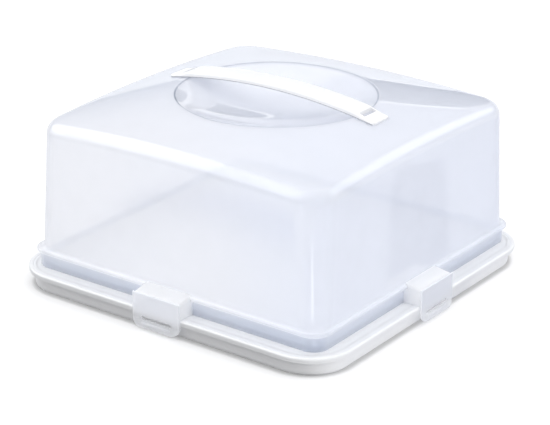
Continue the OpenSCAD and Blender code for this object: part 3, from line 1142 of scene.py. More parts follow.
@dataclass
class Lid:
    """The translucent lid: skirt, ledge bead, walls, rounded edge, domed top with its dish, and clip shoulders."""

    dome: Dome = field(default_factory=Dome)
    skirt_z: float = field(default_factory=lambda: low("lid").z)
    skirt_half: float = 158.5
    skirt_r: float = 15.0
    thick: float = 1.6
    ledge_z: float = 36.6
    ledge_t: float = 4.0
    ledge_out: float = 3.5
    wall_inset: float = 0.4
    wall_r: float = 22.0
    wall_rise: float = 4.5
    lean: float = 2.5
    shoulder_r: float = 27.0
    edge_r: float = 11.0
    fillet: float = 1.8
    rim_turn: float = 0.57
    clip_w: float = 52.0
    shoulder_t: float = 1.5
    shoulder_slope: float = 0.17
    shoulder_round: float = 3.2
    leg_x: float = 103.1
    leg_slot: tuple[float, float] = (2.8, 14.6)
    boss_size: tuple[float, float] = (5.4, 18.4)
    boss_in: float = 4.1
    boss_top: float = 2.0
    boss_r: float = 0.9
    boss_edge: float = 0.4
    outline: RoundedSquare = field(default_factory=RoundedSquare)

    def ledge(self) -> list[tuple[float, float, float]]:
        """Outer rings from the skirt's edge over the ledge bead to the foot of the wall: half, radius, height."""
        rings: list[tuple[float, float, float]] = []
        middle = self.ledge_z - self.ledge_t / 2

        def add(out: float, z: float, r: float | None = None) -> None:
            rings.append((self.skirt_half + out, self.skirt_r + out if r is None else r, z))

        add(-0.5, self.skirt_z)
        add(-0.15, self.skirt_z + 0.12)
        add(0.0, self.skirt_z + 0.5)
        add(0.0, (self.skirt_z + middle) / 2)
        root = self.ledge_z - self.ledge_t
        add(0.0, root - 0.9)
        add(0.12, root - 0.4)
        add(0.5, root - 0.05)
        for a in range(-66, 61, 14):
            c, s = math.cos(math.radians(a)), math.sin(math.radians(a))
            add(self.ledge_out * c**0.5, middle + self.ledge_t / 2 * math.copysign(abs(s) ** 0.9, s))
        start = 1.5
        for a in range(0, 91, 15):
            share = math.sin(math.radians(a))
            out = start * (1 - share) - self.wall_inset * share
            r = (self.skirt_r + start) * (1 - a / 90) + self.wall_r * a / 90
            add(out, self.ledge_z + self.wall_rise * (1 - math.cos(math.radians(a))), r)
        return rings

    def skin(self, t: float) -> list[list[tuple[float, float, float, float, float]]]:
        """Rings of one skin above the ledge, drawn flat for the dome's tree.

        Args:
            t: Depth of the skin under the outer face: 0 outside and the wall's thickness inside.

        Returns:
            Rings of points: x, y, drawn height, lift share and dish share.
        """
        dome, plan = self.dome, self.outline
        rings: list[list[tuple[float, float, float, float, float]]] = []
        foot_half = self.skirt_half - self.wall_inset - t
        foot = plan.ring(foot_half, self.wall_r - t)
        e = self.edge_r - t
        brow = plan.ring(dome.fall_half + e, self.shoulder_r - self.edge_r + e)
        wall_z = self.ledge_z + self.wall_rise
        for k in range(1, 9):
            w = k / 9
            rings.append(
                [
                    (a[0] + (b[0] - a[0]) * w, a[1] + (b[1] - a[1]) * w, wall_z * (1 - w) - self.edge_r * w, w, 0.0)
                    for a, b in zip(foot, brow)
                ]
            )
        for a in range(0, 91, 9):
            c, s = math.cos(math.radians(a)), math.sin(math.radians(a))
            ring = plan.ring(dome.fall_half + e * c, self.shoulder_r - self.edge_r + e * c)
            rings.append([(x, y, -(t + e * (1 - s)), 1.0, 0.0) for x, y in ring])
        flat_r = self.shoulder_r - self.edge_r
        rim = dome.dish_r - t / 2
        for k in range(1, 15):
            ring = plan.towards_circle(dome.fall_half, flat_r, rim + self.fillet, k / 14)
            rings.append([(x, y, -t, 1.0, 0.0) for x, y in ring])
        for k in range(1, 8):
            q = 1 - 2 * k / 8
            drop = self.rim_turn * self.fillet / 4 * (1 - q) ** 2
            ring = plan.towards_circle(dome.fall_half, flat_r, rim + self.fillet * q, 1.0)
            rings.append([(x, y, -t - drop, 1.0, 0.0) for x, y in ring])
        inside = dome.dish_r - t / 4
        for k in range(15):
            share = (rim - self.fillet) / dome.dish_r * (1 - k / 15) ** 1.1
            ring = plan.towards_circle(dome.fall_half, flat_r, inside * share, 1.0)
            rings.append([(x, y, dome.dish_z - t, 0.0, share * share) for x, y in ring])
        return rings

    def shell(self, material: bpy.types.Material) -> bpy.types.Object:
        """Both skins as one closed shell, laid on the dome by its tree.

        Args:
            material: Material of the shell.

        Returns:
            The shell.
        """
        made = Builder()
        lift: list[float] = []
        dish: list[float] = []
        starts: list[int] = []

        def add(ring: list[tuple[float, float, float, float, float]]) -> None:
            starts.append(made.add_ring([p[:3] for p in ring]))
            lift.extend(p[3] for p in ring)
            dish.extend(p[4] for p in ring)

        plan = self.outline
        inner_foot = [
            (self.skirt_half - self.thick + 0.5, self.skirt_r - self.thick + 0.5, self.skirt_z),
            (self.skirt_half - self.thick + 0.15, self.skirt_r - self.thick + 0.15, self.skirt_z + 0.12),
            (self.skirt_half - self.thick, self.skirt_r - self.thick, self.skirt_z + 0.5),
            (self.skirt_half - self.thick, self.skirt_r - self.thick, self.ledge_z - 1.4),
            (self.skirt_half - self.thick - 0.05, self.skirt_r - self.thick + 0.6, self.ledge_z),
            (self.skirt_half - self.thick - 0.3, self.wall_r - self.thick - 1.0, self.ledge_z + 3.0),
            (self.skirt_half - self.wall_inset - self.thick, self.wall_r - self.thick, self.ledge_z + self.wall_rise),
        ]
        for ring in reversed(self.skin(self.thick)):
            add(ring)
        tip_in = starts[0]
        for half, r, z in reversed(inner_foot):
            add([(x, y, z, 0.0, 0.0) for x, y in plan.ring(half, r)])
        for half, r, z in self.ledge():
            add([(x, y, z, 0.0, 0.0) for x, y in plan.ring(half, r)])
        for ring in self.skin(0.0):
            add(ring)
        n = starts[1] - starts[0]
        for first, second in zip(starts, starts[1:]):
            made.bridge(first, second, n)
        for first, depth in ((tip_in, self.thick), (starts[-1], 0.0)):
            made.cap(first, n, (0.0, 0.0, self.dome.dish_z - depth), flip=depth > 0)
            lift.append(0.0)
            dish.append(0.0)
        mesh = made.mesh("lid_shell")
        mesh.attributes.new("lift", "FLOAT", "POINT").data.foreach_set("value", lift)
        mesh.attributes.new("dish", "FLOAT", "POINT").data.foreach_set("value", dish)
        shell = self.dome.tree(material).apply(link("lid_shell", mesh))
        for name in ("lift", "dish"):
            shell.data.attributes.remove(shell.data.attributes[name])
        outwards(shell.data)
        return shell

    def boss(self, side: int) -> bpy.types.Object:
        """Low block of the lid that fills one window of the handle.

        Args:
            side: 1 for the right end of the handle, -1 for the left.

        Returns:
            The block.
        """
        x0 = side * (self.leg_x - self.boss_in)
        foot = self.dome.height(x0, 0.0)
        top = foot + self.boss_top
        levels = ((foot - 1.0, 0.0), (top - self.boss_edge, 0.0), (top, self.boss_edge))
        rings = [
            [(x0 + u, v, z) for u, v in rounded_rectangle(*self.boss_size, self.boss_r, inset)] for z, inset in levels
        ]
        return prism("boss", rings)

    def leg_cutters(self) -> list[bpy.types.Object]:
        """Closed blocks where the handle's snap legs pass the lid."""
        cutters = []
        for side in (-1, 1):
            work = bmesh.new()
            bmesh.ops.create_cube(work, size=1.0)
            size = Vector((self.leg_slot[0], self.leg_slot[1], 12.0)) * MM
            bmesh.ops.scale(work, vec=size, verts=work.verts)
            centre = Vector((side * self.leg_x, 0.0, self.dome.height(self.leg_x, 0.0))) * MM
            bmesh.ops.translate(work, vec=centre, verts=work.verts)
            mesh = bpy.data.meshes.new("leg_slot")
            work.to_mesh(mesh)
            work.free()
            cutters.append(link("leg_slot", mesh))
        return cutters

    def shoulder(self, side: Side) -> bpy.types.Object:
        """Hood over one clip: a sloping plate that turns down into a cheek at each end.

        Args:
            side: The side that the clip sits on.

        Returns:
            The shoulder.
        """
        end = -low(Side.FRONT.node).y
        front = end - 3.5
        root = self.skirt_half - self.thick / 2
        top_front = self.ledge_z - 2.0
        foot = self.skirt_z + 0.6
        half, t, r = self.clip_w / 2, self.shoulder_t, self.shoulder_round

        def section(rise: float, inset: float, radius: float) -> Plan:
            arc = [math.radians(a) for a in range(0, 91, 10)]
            x0, z0 = half - inset - radius, rise - inset - radius
            right = [(x0 + radius * math.cos(a), z0 + radius * math.sin(a)) for a in arc]
            left = [(-x, z) for x, z in reversed(right)]
            return [(half - inset, foot)] + right + left + [(-half + inset, foot)]

        made = Builder()
        loops = []
        for y in (root, front):
            rise = top_front + (front - y) * self.shoulder_slope
            ring = section(rise, 0.0, r) + list(reversed(section(rise, t, r - t)))
            loops.append(made.add_ring([(x, -y, z) for x, z in ring]))
        n = loops[1] - loops[0]
        made.bridge(loops[0], loops[1], n)
        m = n // 2
        for base in loops:
            for i in range(m - 1):
                made.faces.append((base + i, base + i + 1, base + n - 2 - i, base + n - 1 - i))
        hood = link("shoulder", made.mesh("shoulder"))
        outwards(hood.data)
        bevelled(hood, 0.25)
        hood.data.transform(Matrix.Rotation(side.value * math.pi / 2, 4, "Z"))
        return hood

    def build(self, finish: bpy.types.Material) -> bpy.types.Object:
        """Builds the lid, riding on the lid body and standing for its node.

        Args:
            finish: Material of the piece.

        Returns:
            The lid.
        """
        shell = self.shell(finish)
        cut(shell, self.leg_cutters())
        lid = joined("lid_shell", [shell] + [self.boss(side) for side in (-1, 1)])
        lid.data.materials.clear()
        lid.data.materials.append(finish)
        smooth(lid, 35.0)
        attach(lid, "lid")
        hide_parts("lid")
        return lid

    def hoods(self, finish: bpy.types.Material) -> bpy.types.Object:
        """Builds the four clip shoulders in a whiter, denser copy of the lid's plastic, painted lighter because they
        face up into the light, riding on the lid body.

        Args:
            finish: Material of the shoulders.

        Returns:
            The four shoulders.
        """
        hoods = joined("lid_shoulders", [self.shoulder(side) for side in Side])
        hoods.data.materials.clear()
        hoods.data.materials.append(finish)
        smooth(hoods, 35.0)
        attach(hoods, "lid")
        return hoods


# Handle


@dataclass
class Handle:
    """The bridge handle: an arc with a hollow grip, a solid tab with a window at each end, and snap legs."""

    dome: Dome = field(default_factory=Dome)
    half: float = field(default_factory=lambda: high("handle").x)
    top: float = field(default_factory=lambda: high("handle").z)
    width: float = 26.0
    thick: float = 5.0
    edge: float = 3.0
    plan_r: float = 3.0
    gap: float = 0.3
    tab: float = 22.0
    taper: float = 0.55
    stations: int = 96
    hollow: float = 2.2
    wall: float = 2.4
    window_in: float = 14.5
    window: tuple[float, float] = (6.0, 19.0)
    window_r: float = 1.2
    leg: tuple[float, float] = (2.2, 14.0)
    barb: float = 1.0

    @property
    def drop(self) -> float:
        """How far the underside falls from the middle to the ends."""
        return self.top - self.thick - self.dome.height(self.half, 0.0) - self.gap

    @property
    def radius(self) -> float:
        """Radius of the underside's arc."""
        return (self.half**2 + self.drop**2) / (2 * self.drop)

    def under(self, x: float) -> float:
        """Height of the underside at a distance from the middle."""
        return self.top - self.thick - self.radius + math.sqrt(self.radius**2 - x * x)

    def bar(
        self, low_in: float, high_in: float, width: float, reach: float, edge: float, plan_r: float
    ) -> bpy.types.Object:
        """Closed bar that follows the arc, with rounded upper edges and rounded corners in plan.

        Args:
            low_in: Height of its lower face over the handle's underside.
            high_in: Height of its upper face over the handle's underside.
            width: Its width.
            reach: Its half length.
            edge: Radius of its long upper edges.
            plan_r: Radius of its corners in plan.

        Returns:
            The bar as an object.
        """
        steps, toe = self.stations, 0.25
        stations = [(-reach + plan_r + i * 2 * (reach - plan_r) / steps, 0.0) for i in range(steps + 1)]
        turns = [math.radians(d) for d in range(15, 91, 15)]
        ends = [(plan_r * math.sin(a), plan_r * (1 - math.cos(a))) for a in turns]
        first = [(-reach + plan_r - s, d) for s, d in reversed(ends)]
        last = [(reach - plan_r + s, d) for s, d in ends]
        arc = [math.radians(a) for a in range(0, 91, 10)]
        rings = []
        for x, draw_in in first + stations + last:
            h = width / 2 - draw_in
            high = high_in * (1.0 - self.taper * self.thinning(x)) if low_in == 0.0 else high_in
            e = min(edge, h * 0.5, high - low_in - 0.6)
            right = [(h - e + e * math.cos(a), high - e + e * math.sin(a)) for a in arc]
            foot = [(-h + toe, low_in), (h - toe, low_in), (h, low_in + toe)]
            section = foot + right + [(-y, z) for y, z in reversed(right)] + [(-h, low_in + toe)]
            base = self.under(min(abs(x), self.half))
            lean = math.asin(x / self.radius)
            rings.append([(x + math.sin(lean) * z, y, base + math.cos(lean) * z) for y, z in section])
        return prism("bar", rings)

    def thinning(self, x: float) -> float:
        """How far a tab has thinned at a distance from the middle: 0 at its root and 1 near its end."""
        share = min(max((abs(x) - self.half + self.tab + 4.0) / self.tab, 0.0), 1.0)
        return share * share * (3.0 - 2.0 * share)

    def window_cutter(self, side: int) -> bpy.types.Object:
        """Closed block with rounded corners that opens one tab's window.

        Args:
            side: 1 for the right end of the handle, -1 for the left.

        Returns:
            The cutter.
        """
        centre = side * (self.half - self.window_in)
        base = self.under(abs(centre)) - 3.0
        outline = rounded_rectangle(*self.window, self.window_r)
        return prism("window", [[(centre + u, v, z) for u, v in outline] for z in (base, base + self.thick + 6.0)])

    def snap_leg(self, side: int) -> bpy.types.Object:
        """Leg with a barb that hooks under the lid.

        Args:
            side: 1 for the right end of the handle, -1 for the left.

        Returns:
            The leg.
        """
        t, w = self.leg
        x = self.half - self.window_in + self.window[0] / 2 + t / 2
        root = self.under(x) + self.thick / 2
        under = low("handle").z + 3.0
        section = [
            (-t / 2, root),
            (-t / 2, under - 3.0),
            (t / 2 - 0.6, under - 3.0),
            (t / 2 + self.barb, under - 0.8),
            (t / 2 + self.barb, under),
            (t / 2, under),
            (t / 2, root),
        ]
        leg = prism("leg", [[(side * (x + u), y, z) for u, z in section] for y in (-w / 2, w / 2)])
        bevelled(leg, 0.2)
        return leg

    def build(self, finish: bpy.types.Material) -> bpy.types.Object:
        """Builds the handle, riding on the lid and standing for its node.

        Args:
            finish: Material of the piece.

        Returns:
            The handle.
        """
        bar = self.bar(0.0, self.thick, self.width, self.half, self.edge, self.plan_r)
        hollow = self.bar(-1.0, self.hollow, self.width - 2 * self.wall, self.half - self.tab, 0.5, 1.0)
        cut(bar, [hollow, self.window_cutter(-1), self.window_cutter(1)])
        bevelled(bar, 0.3, 2, 55.0)
        handle = joined("handle_bridge", [bar, self.snap_leg(-1), self.snap_leg(1)])
        handle.data.materials.append(finish)
        smooth(handle, 30.0)
        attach(handle, "lid")
        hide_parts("handle")
        return handle


# Clips


@dataclass
class Clip:
    """One swing clip: a flap with a beaded edge, a catch, a slot and a flared finger lip with grip ridges."""

    side: Side
    tip_z: float = field(default_factory=lambda: low("clip_front").z)
    reach: float = field(default_factory=lambda: -low("clip_front").y)
    width: float = 52.0
    thick: float = 1.4
    corner: float = 9.0
    flare: float = 1.4
    relief: float = 0.4
    bead: float = 1.4
    hinge_z: float = 34.0
    catch_z: float = 13.0
    slot: tuple[float, float] = (34.0, 3.0)
    slot_drop: float = 0.5
    slot_z: float = 10.6
    catch_out: float = 0.55
    ridges: int = 2

    @property
    def face(self) -> float:
        """Distance of the flap's plain outer face from the middle of the carrier."""
        return self.reach - self.flare - self.relief

    def outer(self, z: float) -> float:
        """Distance of the outer face at a height, without the bead."""
        bend, tip = self.slot_z - 1.0, self.tip_z + 1.6
        share = min(max((bend - z) / (bend - tip), 0.0), 1.0)
        return self.face + self.flare * share**0.85

    def inner(self, z: float) -> float:
        """Distance of the inner face at a height."""
        back = self.face - self.thick
        if z > self.catch_z:
            return back
        if z > self.catch_z - 0.3:
            return back - self.catch_out * (self.catch_z - z) / 0.3
        if z > self.catch_z - 0.9:
            return back - self.catch_out
        if z > self.slot_z - 0.6:
            return back - self.catch_out * (z - self.slot_z + 0.6) / (self.catch_z - 0.9 - self.slot_z + 0.6)
        return back + self.flare * min((self.slot_z - 0.6 - z) / (self.slot_z - 1.6 - self.tip_z), 1.0)

    def half_width(self, z: float) -> float:
        """Half the flap's width at a height, drawn in by the round lower corners."""
        over = self.tip_z + self.corner - z
        if over <= 0:
            return self.width / 2
        return self.width / 2 - self.corner + math.sqrt(max(self.corner**2 - over**2, 0.0))

    def flap(self) -> bpy.types.Object:
        """The flap as a closed plate whose outer face rises into a bead along its free edges."""
        heights = [self.tip_z + self.corner * (1 - math.cos(math.radians(a))) for a in range(6, 90, 6)]
        marks = [self.catch_z, self.catch_z - 0.3, self.catch_z - 0.9, self.slot_z - 0.6, self.slot_z - 1.0]
        straight = self.tip_z + self.corner
        plain = [straight + k * (self.hinge_z - straight) / 12 for k in range(13)]
        rows = [self.tip_z] + sorted(set(heights + marks + plain))
        steps = [self.bead * s for s in (0.0, 0.3, 0.7, 1.0, 1.5)]
        made = Builder()
        front, back = [], []
        columns = 2 * len(steps) + 11
        for z in rows:
            half = self.half_width(max(z, self.tip_z + 0.02))
            inset = [min(s, half * 0.8) for s in steps]
            left = [-half + s for s in inset]
            inner_half = half - inset[-1]
            middle = [-inner_half + 2 * inner_half * k / 12 for k in range(1, 12)]
            xs = left + middle + [-x for x in reversed(left)]
            line = []
            for x in xs:
                edge = min(half - abs(x), self._tip_gap(x, z))
                share = min(max(edge / self.bead, 0.0), 1.4)
                bead = math.cos(math.pi * min(share - 0.25, 1.0) / 2) if share > 0.25 else 0.55 + 1.8 * share
                line.append((x, -(self.outer(z) + self.relief * min(max(bead, 0.0), 1.0)), z))
            front.append(made.add_ring(line))
            back.append(made.add_ring([(x, -self.inner(z), z) for x in xs]))
        for a, b in zip(front, front[1:]):
            for i in range(columns - 1):
                made.faces.append((a + i, a + i + 1, b + i + 1, b + i))
        for a, b in zip(back, back[1:]):
            for i in range(columns - 1):
                made.faces.append((a + i, b + i, b + i + 1, a + i + 1))
        for k in range(len(rows) - 1):
            for i in (0, columns - 1):
                made.faces.append((front[k] + i, front[k + 1] + i, back[k + 1] + i, back[k] + i))
        for k in (0, len(rows) - 1):
            for i in range(columns - 1):
                made.faces.append((front[k] + i, front[k] + i + 1, back[k] + i + 1, back[k] + i))
        flap = link("flap", made.mesh("flap"))
        outwards(flap.data)
        return flap

    def _tip_gap(self, x: float, z: float) -> float:
        """Distance of a point of the flap's face from its rounded tip."""
        centre = self.width / 2 - self.corner
        if z > self.tip_z + self.corner:
            return self.width
        if abs(x) <= centre:
            return z - self.tip_z
        return self.corner - math.hypot(abs(x) - centre, z - self.tip_z - self.corner)

    def slot_cutter(self) -> bpy.types.Object:
        """Closed block with round ends for the slot."""
        length, h = self.slot
        middle = self.slot_z - self.slot_drop + h / 2
        outline: Plan = []
        for end in (1, -1):
            for k in range(9):
                a = math.radians(-90 * end + k * 22.5)
                outline.append((end * (length - h) / 2 + h / 2 * math.cos(a), middle + h / 2 * math.sin(a)))
        return prism("slot", [[(x, -y, z) for x, z in outline] for y in (self.face - 4.0, self.face + 4.0)])

    def knuckle(self) -> bpy.types.Object:
        """Rounded upper edge of the flap, on the living hinge's line."""
        centre, r, end = self.face - self.thick / 2, self.thick / 2, self.width / 2 - 0.15
        turns = [math.radians(a) for a in range(0, 360, 20)]
        outline = [(-(centre + r * math.cos(a)), self.hinge_z + r * math.sin(a)) for a in turns]
        return prism("knuckle", [[(x, y, z) for y, z in outline] for x in (-end, end)])

    def ridge_tree(self, material: bpy.types.Material) -> Geometry:
        """Tree that adds the grip ridges to a flap, along the slope of its finger lip.

        Args:
            material: Material of the ridges.

        Returns:
            The tree.
        """
        first, last = self.tip_z + 2.2, self.slot_z - 2.0
        made = Geometry(
            "Grip ridges",
            {
                "Count": self.ridges,
                "Length": (self.slot[0] - 2.0) * MM,
                "Radius": self.relief * MM,
                "Low Height": (first + (last - first) / (self.ridges + 1)) * MM,
                "Rise": (last - first) / (self.ridges + 1) * MM,
                "Low Reach": -(self.outer(first + (last - first) / 3) - 0.02) * MM,
                "Draw In": (self.outer(first) - self.outer(last)) / (self.ridges + 1) * MM,
            },
        )
        start = made.node("ShaderNodeCombineXYZ", s1=made.size("Low Reach"), s2=made.size("Low Height"))
        step = made.node("ShaderNodeCombineXYZ", s1=made.size("Draw In"), s2=made.size("Rise"))
        row = made.node("GeometryNodeMeshLine", {"mode": "OFFSET"}, Count=made.size("Count"))
        made.tree.links.new(start.outputs[0], row.inputs["Start Location"])
        made.tree.links.new(step.outputs[0], row.inputs["Offset"])
        ridge = made.node(
            "GeometryNodeMeshCylinder", Vertices=12, Radius=made.size("Radius"), Depth=made.size("Length")
        )
        laid = made.node("GeometryNodeTransform", Geometry=ridge.outputs[0])
        laid.inputs["Rotation"].default_value = (0.0, math.pi / 2, 0.0)
        placed = made.node("GeometryNodeInstanceOnPoints", Points=row.outputs[0], Instance=laid.outputs[0])
        both = made.node("GeometryNodeJoinGeometry")
        for source in (placed.outputs[0], made.input.outputs[0]):
            made.tree.links.new(source, both.inputs[0])
        made.finish(both.outputs[0], material)
        return made

    def build(self, finish: bpy.types.Material) -> bpy.types.Object:
        """Builds the clip on its side, riding on its own body and standing for its node.

        Args:
            finish: Material of the piece.

        Returns:
            The clip.
        """
        flap = self.flap()
        cut(flap, [self.slot_cutter()])
        clip = joined(self.side.node + "_flap", [flap, self.knuckle()])
        self.ridge_tree(finish).apply(clip)
        clip.data.transform(Matrix.Rotation(self.side.value * math.pi / 2, 4, "Z"))
        smooth(clip, 35.0)
        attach(clip, self.side.node)
        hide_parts(self.side.node)
        return clip


# Studio


@dataclass(frozen=True)
class Card:
    """A soft round patch of studio that only glossy surfaces see, by its direction in degrees."""

    azimuth: float
    elevation: float
    inner: float
    outer: float
    colour: Point

    @property
    def direction(self) -> Point:
        """Unit vector towards the middle of the card."""
        a, e = math.radians(self.azimuth), math.radians(self.elevation)
        return (math.cos(a) * math.cos(e), math.sin(a) * math.cos(e), math.sin(e))


@dataclass(frozen=True)
class GroundCard:
    """A rectangular patch of floor that only glossy surfaces see: middle, half sizes, turn and soft margin."""

    x: float
    y: float
    half_u: float
    half_v: float
    turn: float
    soft: float
    colour: Point

    def mask(self, shader: Shader, x: bpy.types.NodeSocket, y: bpy.types.NodeSocket) -> bpy.types.NodeSocket:
        """Mask of the patch on the floor.

        Args:
            shader: The floor's tree.
            x: Place along x, in metres.
            y: Place along y, in metres.

        Returns:
            The mask, 1 inside the patch.
        """
        c, d = math.cos(math.radians(self.turn)), math.sin(math.radians(self.turn))
        east, north = shader.math("SUBTRACT", x, self.x), shader.math("SUBTRACT", y, self.y)
        u = shader.math("ADD", shader.math("MULTIPLY", east, c), shader.math("MULTIPLY", north, d))
        v = shader.math("SUBTRACT", shader.math("MULTIPLY", north, c), shader.math("MULTIPLY", east, d))
        within = [
            shader.band(shader.math("ABSOLUTE", value), reach - self.soft, reach + self.soft, (1.0, 0.0))
            for value, reach in ((u, self.half_u), (v, self.half_v))
        ]
        return shader.math("MULTIPLY", *within)


@dataclass
class Studio:
    """Pale floor, soft lamps and a world that is white behind the carrier and toned in its reflections."""

    floor_half: float = 6.0
    floor_colour: Point = (0.80, 0.80, 0.805)
    floor_bounce: Point = (0.50, 0.50, 0.51)
    # Painted shade and light for bounced rays: near the tray the floor is nearly black, but pale on the right side.
    floor_shade: Point = (0.02, 0.02, 0.02)
    floor_lit: Point = (0.85, 0.85, 0.86)
    # Painted contact shadow: the floor's colour, and its glow, fall to this share in a band round the tray's foot.
    painted_contact_shadow: float = 0.6
    contact_shadow_core: float = 0.128
    contact_shadow_band: tuple[float, float] = (0.042, 0.049)
    shade_band: tuple[float, float] = (0.15, 0.18)
    bounce_band: tuple[float, float] = (0.045, 0.12)
    floor_glow: float = 0.28
    mirror_colour: Point = (0.95, 0.96, 0.99)
    ground_cards: tuple[GroundCard, ...] = (
        GroundCard(0.45, 0.10, 0.28, 0.55, 0.0, 0.02, (0.72, 0.78, 0.95)),
        GroundCard(-0.20, -0.45, 0.38, 0.27, 0.0, 0.06, (1.45, 1.46, 1.50)),
        GroundCard(-0.12, -0.44, 0.10, 0.05, 0.0, 0.05, (0.45, 0.52, 0.80)),
        GroundCard(0.275, 0.187, 0.20, 0.029, 58.0, 0.005, (0.16, 0.21, 0.38)),
        GroundCard(0.28, -0.32, 0.16, 0.018, -53.0, 0.012, (4.0, 4.1, 4.2)),
    )
    sky_low: float = 1.0
    sky_high: float = 1.09
    cards: tuple[Card, ...] = (
        Card(117.0, 14.4, 7.9, 8.4, (1.5, 1.5, 1.5)),
        Card(117.0, 14.2, 7.1, 7.7, (0.02, 0.06, 0.14)),
        Card(205.0, 45.0, 26.0, 44.0, (4.0, 4.1, 4.2)),
        Card(66.0, 36.0, 10.0, 24.0, (2.6, 2.7, 2.8)),
        Card(127.0, 62.0, 12.0, 24.0, (1.8, 1.8, 1.8)),
    )

    def floor(self) -> None:
        """Large pale floor that keeps the carrier's shadow, with a painted contact shadow round the tray's foot, and
        painted shade and light in the colour that bounced rays see near the tray.
        """
        mesh = bpy.data.meshes.new("floor")
        s = self.floor_half
        mesh.from_pydata([(-s, -s, 0), (s, -s, 0), (s, s, 0), (-s, s, 0)], [], [(0, 1, 2, 3)])
        floor = link("floor", mesh)
        material, shader, output = new_material("studio floor")
        path = shader.node("ShaderNodeLightPath")
        seen = shader.math("MAXIMUM", path.outputs["Is Camera Ray"], path.outputs["Is Glossy Ray"])
        seen = shader.math("MAXIMUM", seen, path.outputs["Is Transmission Ray"])
        x, y, _ = shader.local()
        sides = [
            shader.math("MAXIMUM", shader.math("SUBTRACT", shader.math("ABSOLUTE", value), self.contact_shadow_core), 0.0)
            for value in (x, y)
        ]
        gap = shader.hypotenuse(*sides)
        # Painted contact shadow round the tray's foot.
        near = shader.band(gap, *self.contact_shadow_band, (self.painted_contact_shadow, 1.0))
        painted_contact_shadow = shader.blend(near, (0.0, 0.0, 0.0), self.floor_colour)
        # Painted shade and light in the colour that bounced rays see: dark near the tray, lighter on the right side.
        sheltered = shader.blend(shader.band(x, *self.shade_band), self.floor_shade, self.floor_lit)
        bounce = shader.blend(shader.band(gap, *self.bounce_band), sheltered, self.floor_bounce)
        matt = shader.node("ShaderNodeBsdfDiffuse", Color=shader.blend(seen, bounce, painted_contact_shadow))
        # The glow is dimmed with the painted contact shadow too.
        glow = shader.node("ShaderNodeEmission", Strength=shader.math("MULTIPLY", near, self.floor_glow))
        none = shader.node("ShaderNodeEmission", Strength=0.0)
        tone = self.mirror_colour
        for card in self.ground_cards:
            tone = shader.blend(card.mask(shader, x, y), tone, card.colour)
        mirrored = shader.node("ShaderNodeEmission", Color=tone)
        lit = shader.node("ShaderNodeMixShader", s0=seen, s1=none.outputs[0], s2=glow.outputs[0])
        both = shader.node("ShaderNodeAddShader", s0=matt.outputs[0], s1=lit.outputs[0])
        glossy = path.outputs["Is Glossy Ray"]
        whole = shader.node("ShaderNodeMixShader", s0=glossy, s1=both.outputs[0], s2=mirrored.outputs[0])
        shader.tree.links.new(whole.outputs[0], output.inputs["Surface"])
        floor.data.materials.append(material)

    def world(self) -> None:
        """World: white to the camera, a soft sky to matt surfaces, and toned bands to glossy ones."""
        world = bpy.data.worlds.new("studio")
        bpy.context.scene.world = world
        world.use_nodes = True
        world.node_tree.nodes.clear()
        shader = Shader(world.node_tree)
        path = shader.node("ShaderNodeLightPath")
        direction = shader.node("ShaderNodeTexCoord").outputs["Generated"]
        height = shader.node("ShaderNodeSeparateXYZ", s0=direction).outputs[2]
        ramp = shader.node("ShaderNodeValToRGB", Fac=height)
        stops = [
            (0.0, (1.0, 1.03, 1.06)),
            (0.130, (1.0, 1.03, 1.06)),
            (0.137, (0.42, 0.47, 0.56)),
            (0.22, (0.50, 0.55, 0.64)),
            (0.40, (0.72, 0.76, 0.85)),
            (0.62, (0.90, 0.93, 1.0)),
            (0.85, (1.1, 1.1, 1.1)),
        ]
        elements = ramp.color_ramp.elements
        for element, (at, colour) in zip(list(elements), (stops[0], stops[-1])):
            element.position = at
            element.color = (*colour, 1.0)
        for at, colour in stops[1:-1]:
            elements.new(at).color = (*colour, 1.0)
        seen = shader.math("MAXIMUM", path.outputs["Is Camera Ray"], path.outputs["Is Transmission Ray"])
        tone = ramp.outputs[0]
        for card in self.cards:
            towards = shader.node("ShaderNodeVectorMath", {"operation": "DOT_PRODUCT"}, s0=direction, s1=card.direction)
            near = shader.band(
                towards.outputs["Value"], math.cos(math.radians(card.outer)), math.cos(math.radians(card.inner))
            )
            tone = shader.blend(near, tone, card.colour)
        glossy = shader.node("ShaderNodeBackground", Color=tone, Strength=1.0)
        white = shader.node("ShaderNodeBackground", Strength=1.0)
        white.inputs["Color"].default_value = (1.0, 1.0, 1.0, 1.0)
        overhead = shader.band(height, -0.1, 1.0, (self.sky_low, self.sky_high))
        sky = shader.node("ShaderNodeBackground", Strength=overhead)
        sky.inputs["Color"].default_value = (0.985, 0.99, 1.0, 1.0)
        mirror = path.outputs["Is Glossy Ray"]
        first = shader.node("ShaderNodeMixShader", s0=mirror, s1=sky.outputs[0], s2=glossy.outputs[0])
        last = shader.node("ShaderNodeMixShader", s0=seen, s1=first.outputs[0], s2=white.outputs[0])
        output = shader.node("ShaderNodeOutputWorld", Surface=last.outputs[0])
        output.is_active_output = True

    def lamp(self, name: str, place: Point, aim: Point, size: float, power: float) -> bpy.types.Object:
        """One square soft lamp, aimed at a point, in metres and watts.

        Args:
            name: Name of the lamp.
            place: Where it stands, in metres.
            aim: The point that it faces, in metres.
            size: Length of its sides, in metres.
            power: Its power, in watts.

        Returns:
            The lamp.
        """
        data = bpy.data.lights.new(name, "AREA")
        data.shape = "SQUARE"
        data.size = size
        data.energy = power
        lamp = bpy.data.objects.new(name, data)
        bpy.context.scene.collection.objects.link(lamp)
        lamp.location = place
        lamp.rotation_euler = (Vector(aim) - Vector(place)).to_track_quat("-Z", "Y").to_euler()
        return lamp

    def build(self) -> None:
        """Sets up the floor, the world, the lamps and the view."""
        self.floor()
        self.world()
        self.lamp("overhead", (0.1, 0.1, 1.5), (0.0, 0.0, 0.1), 1.3, 1.4)
        self.lamp("key", (1.5, -0.5, 1.1), (0.0, 0.0, 0.08), 1.0, 1.5)
        scene = bpy.context.scene
        scene.view_settings.view_transform = "Standard"
        scene.cycles.transparent_max_bounces = 24


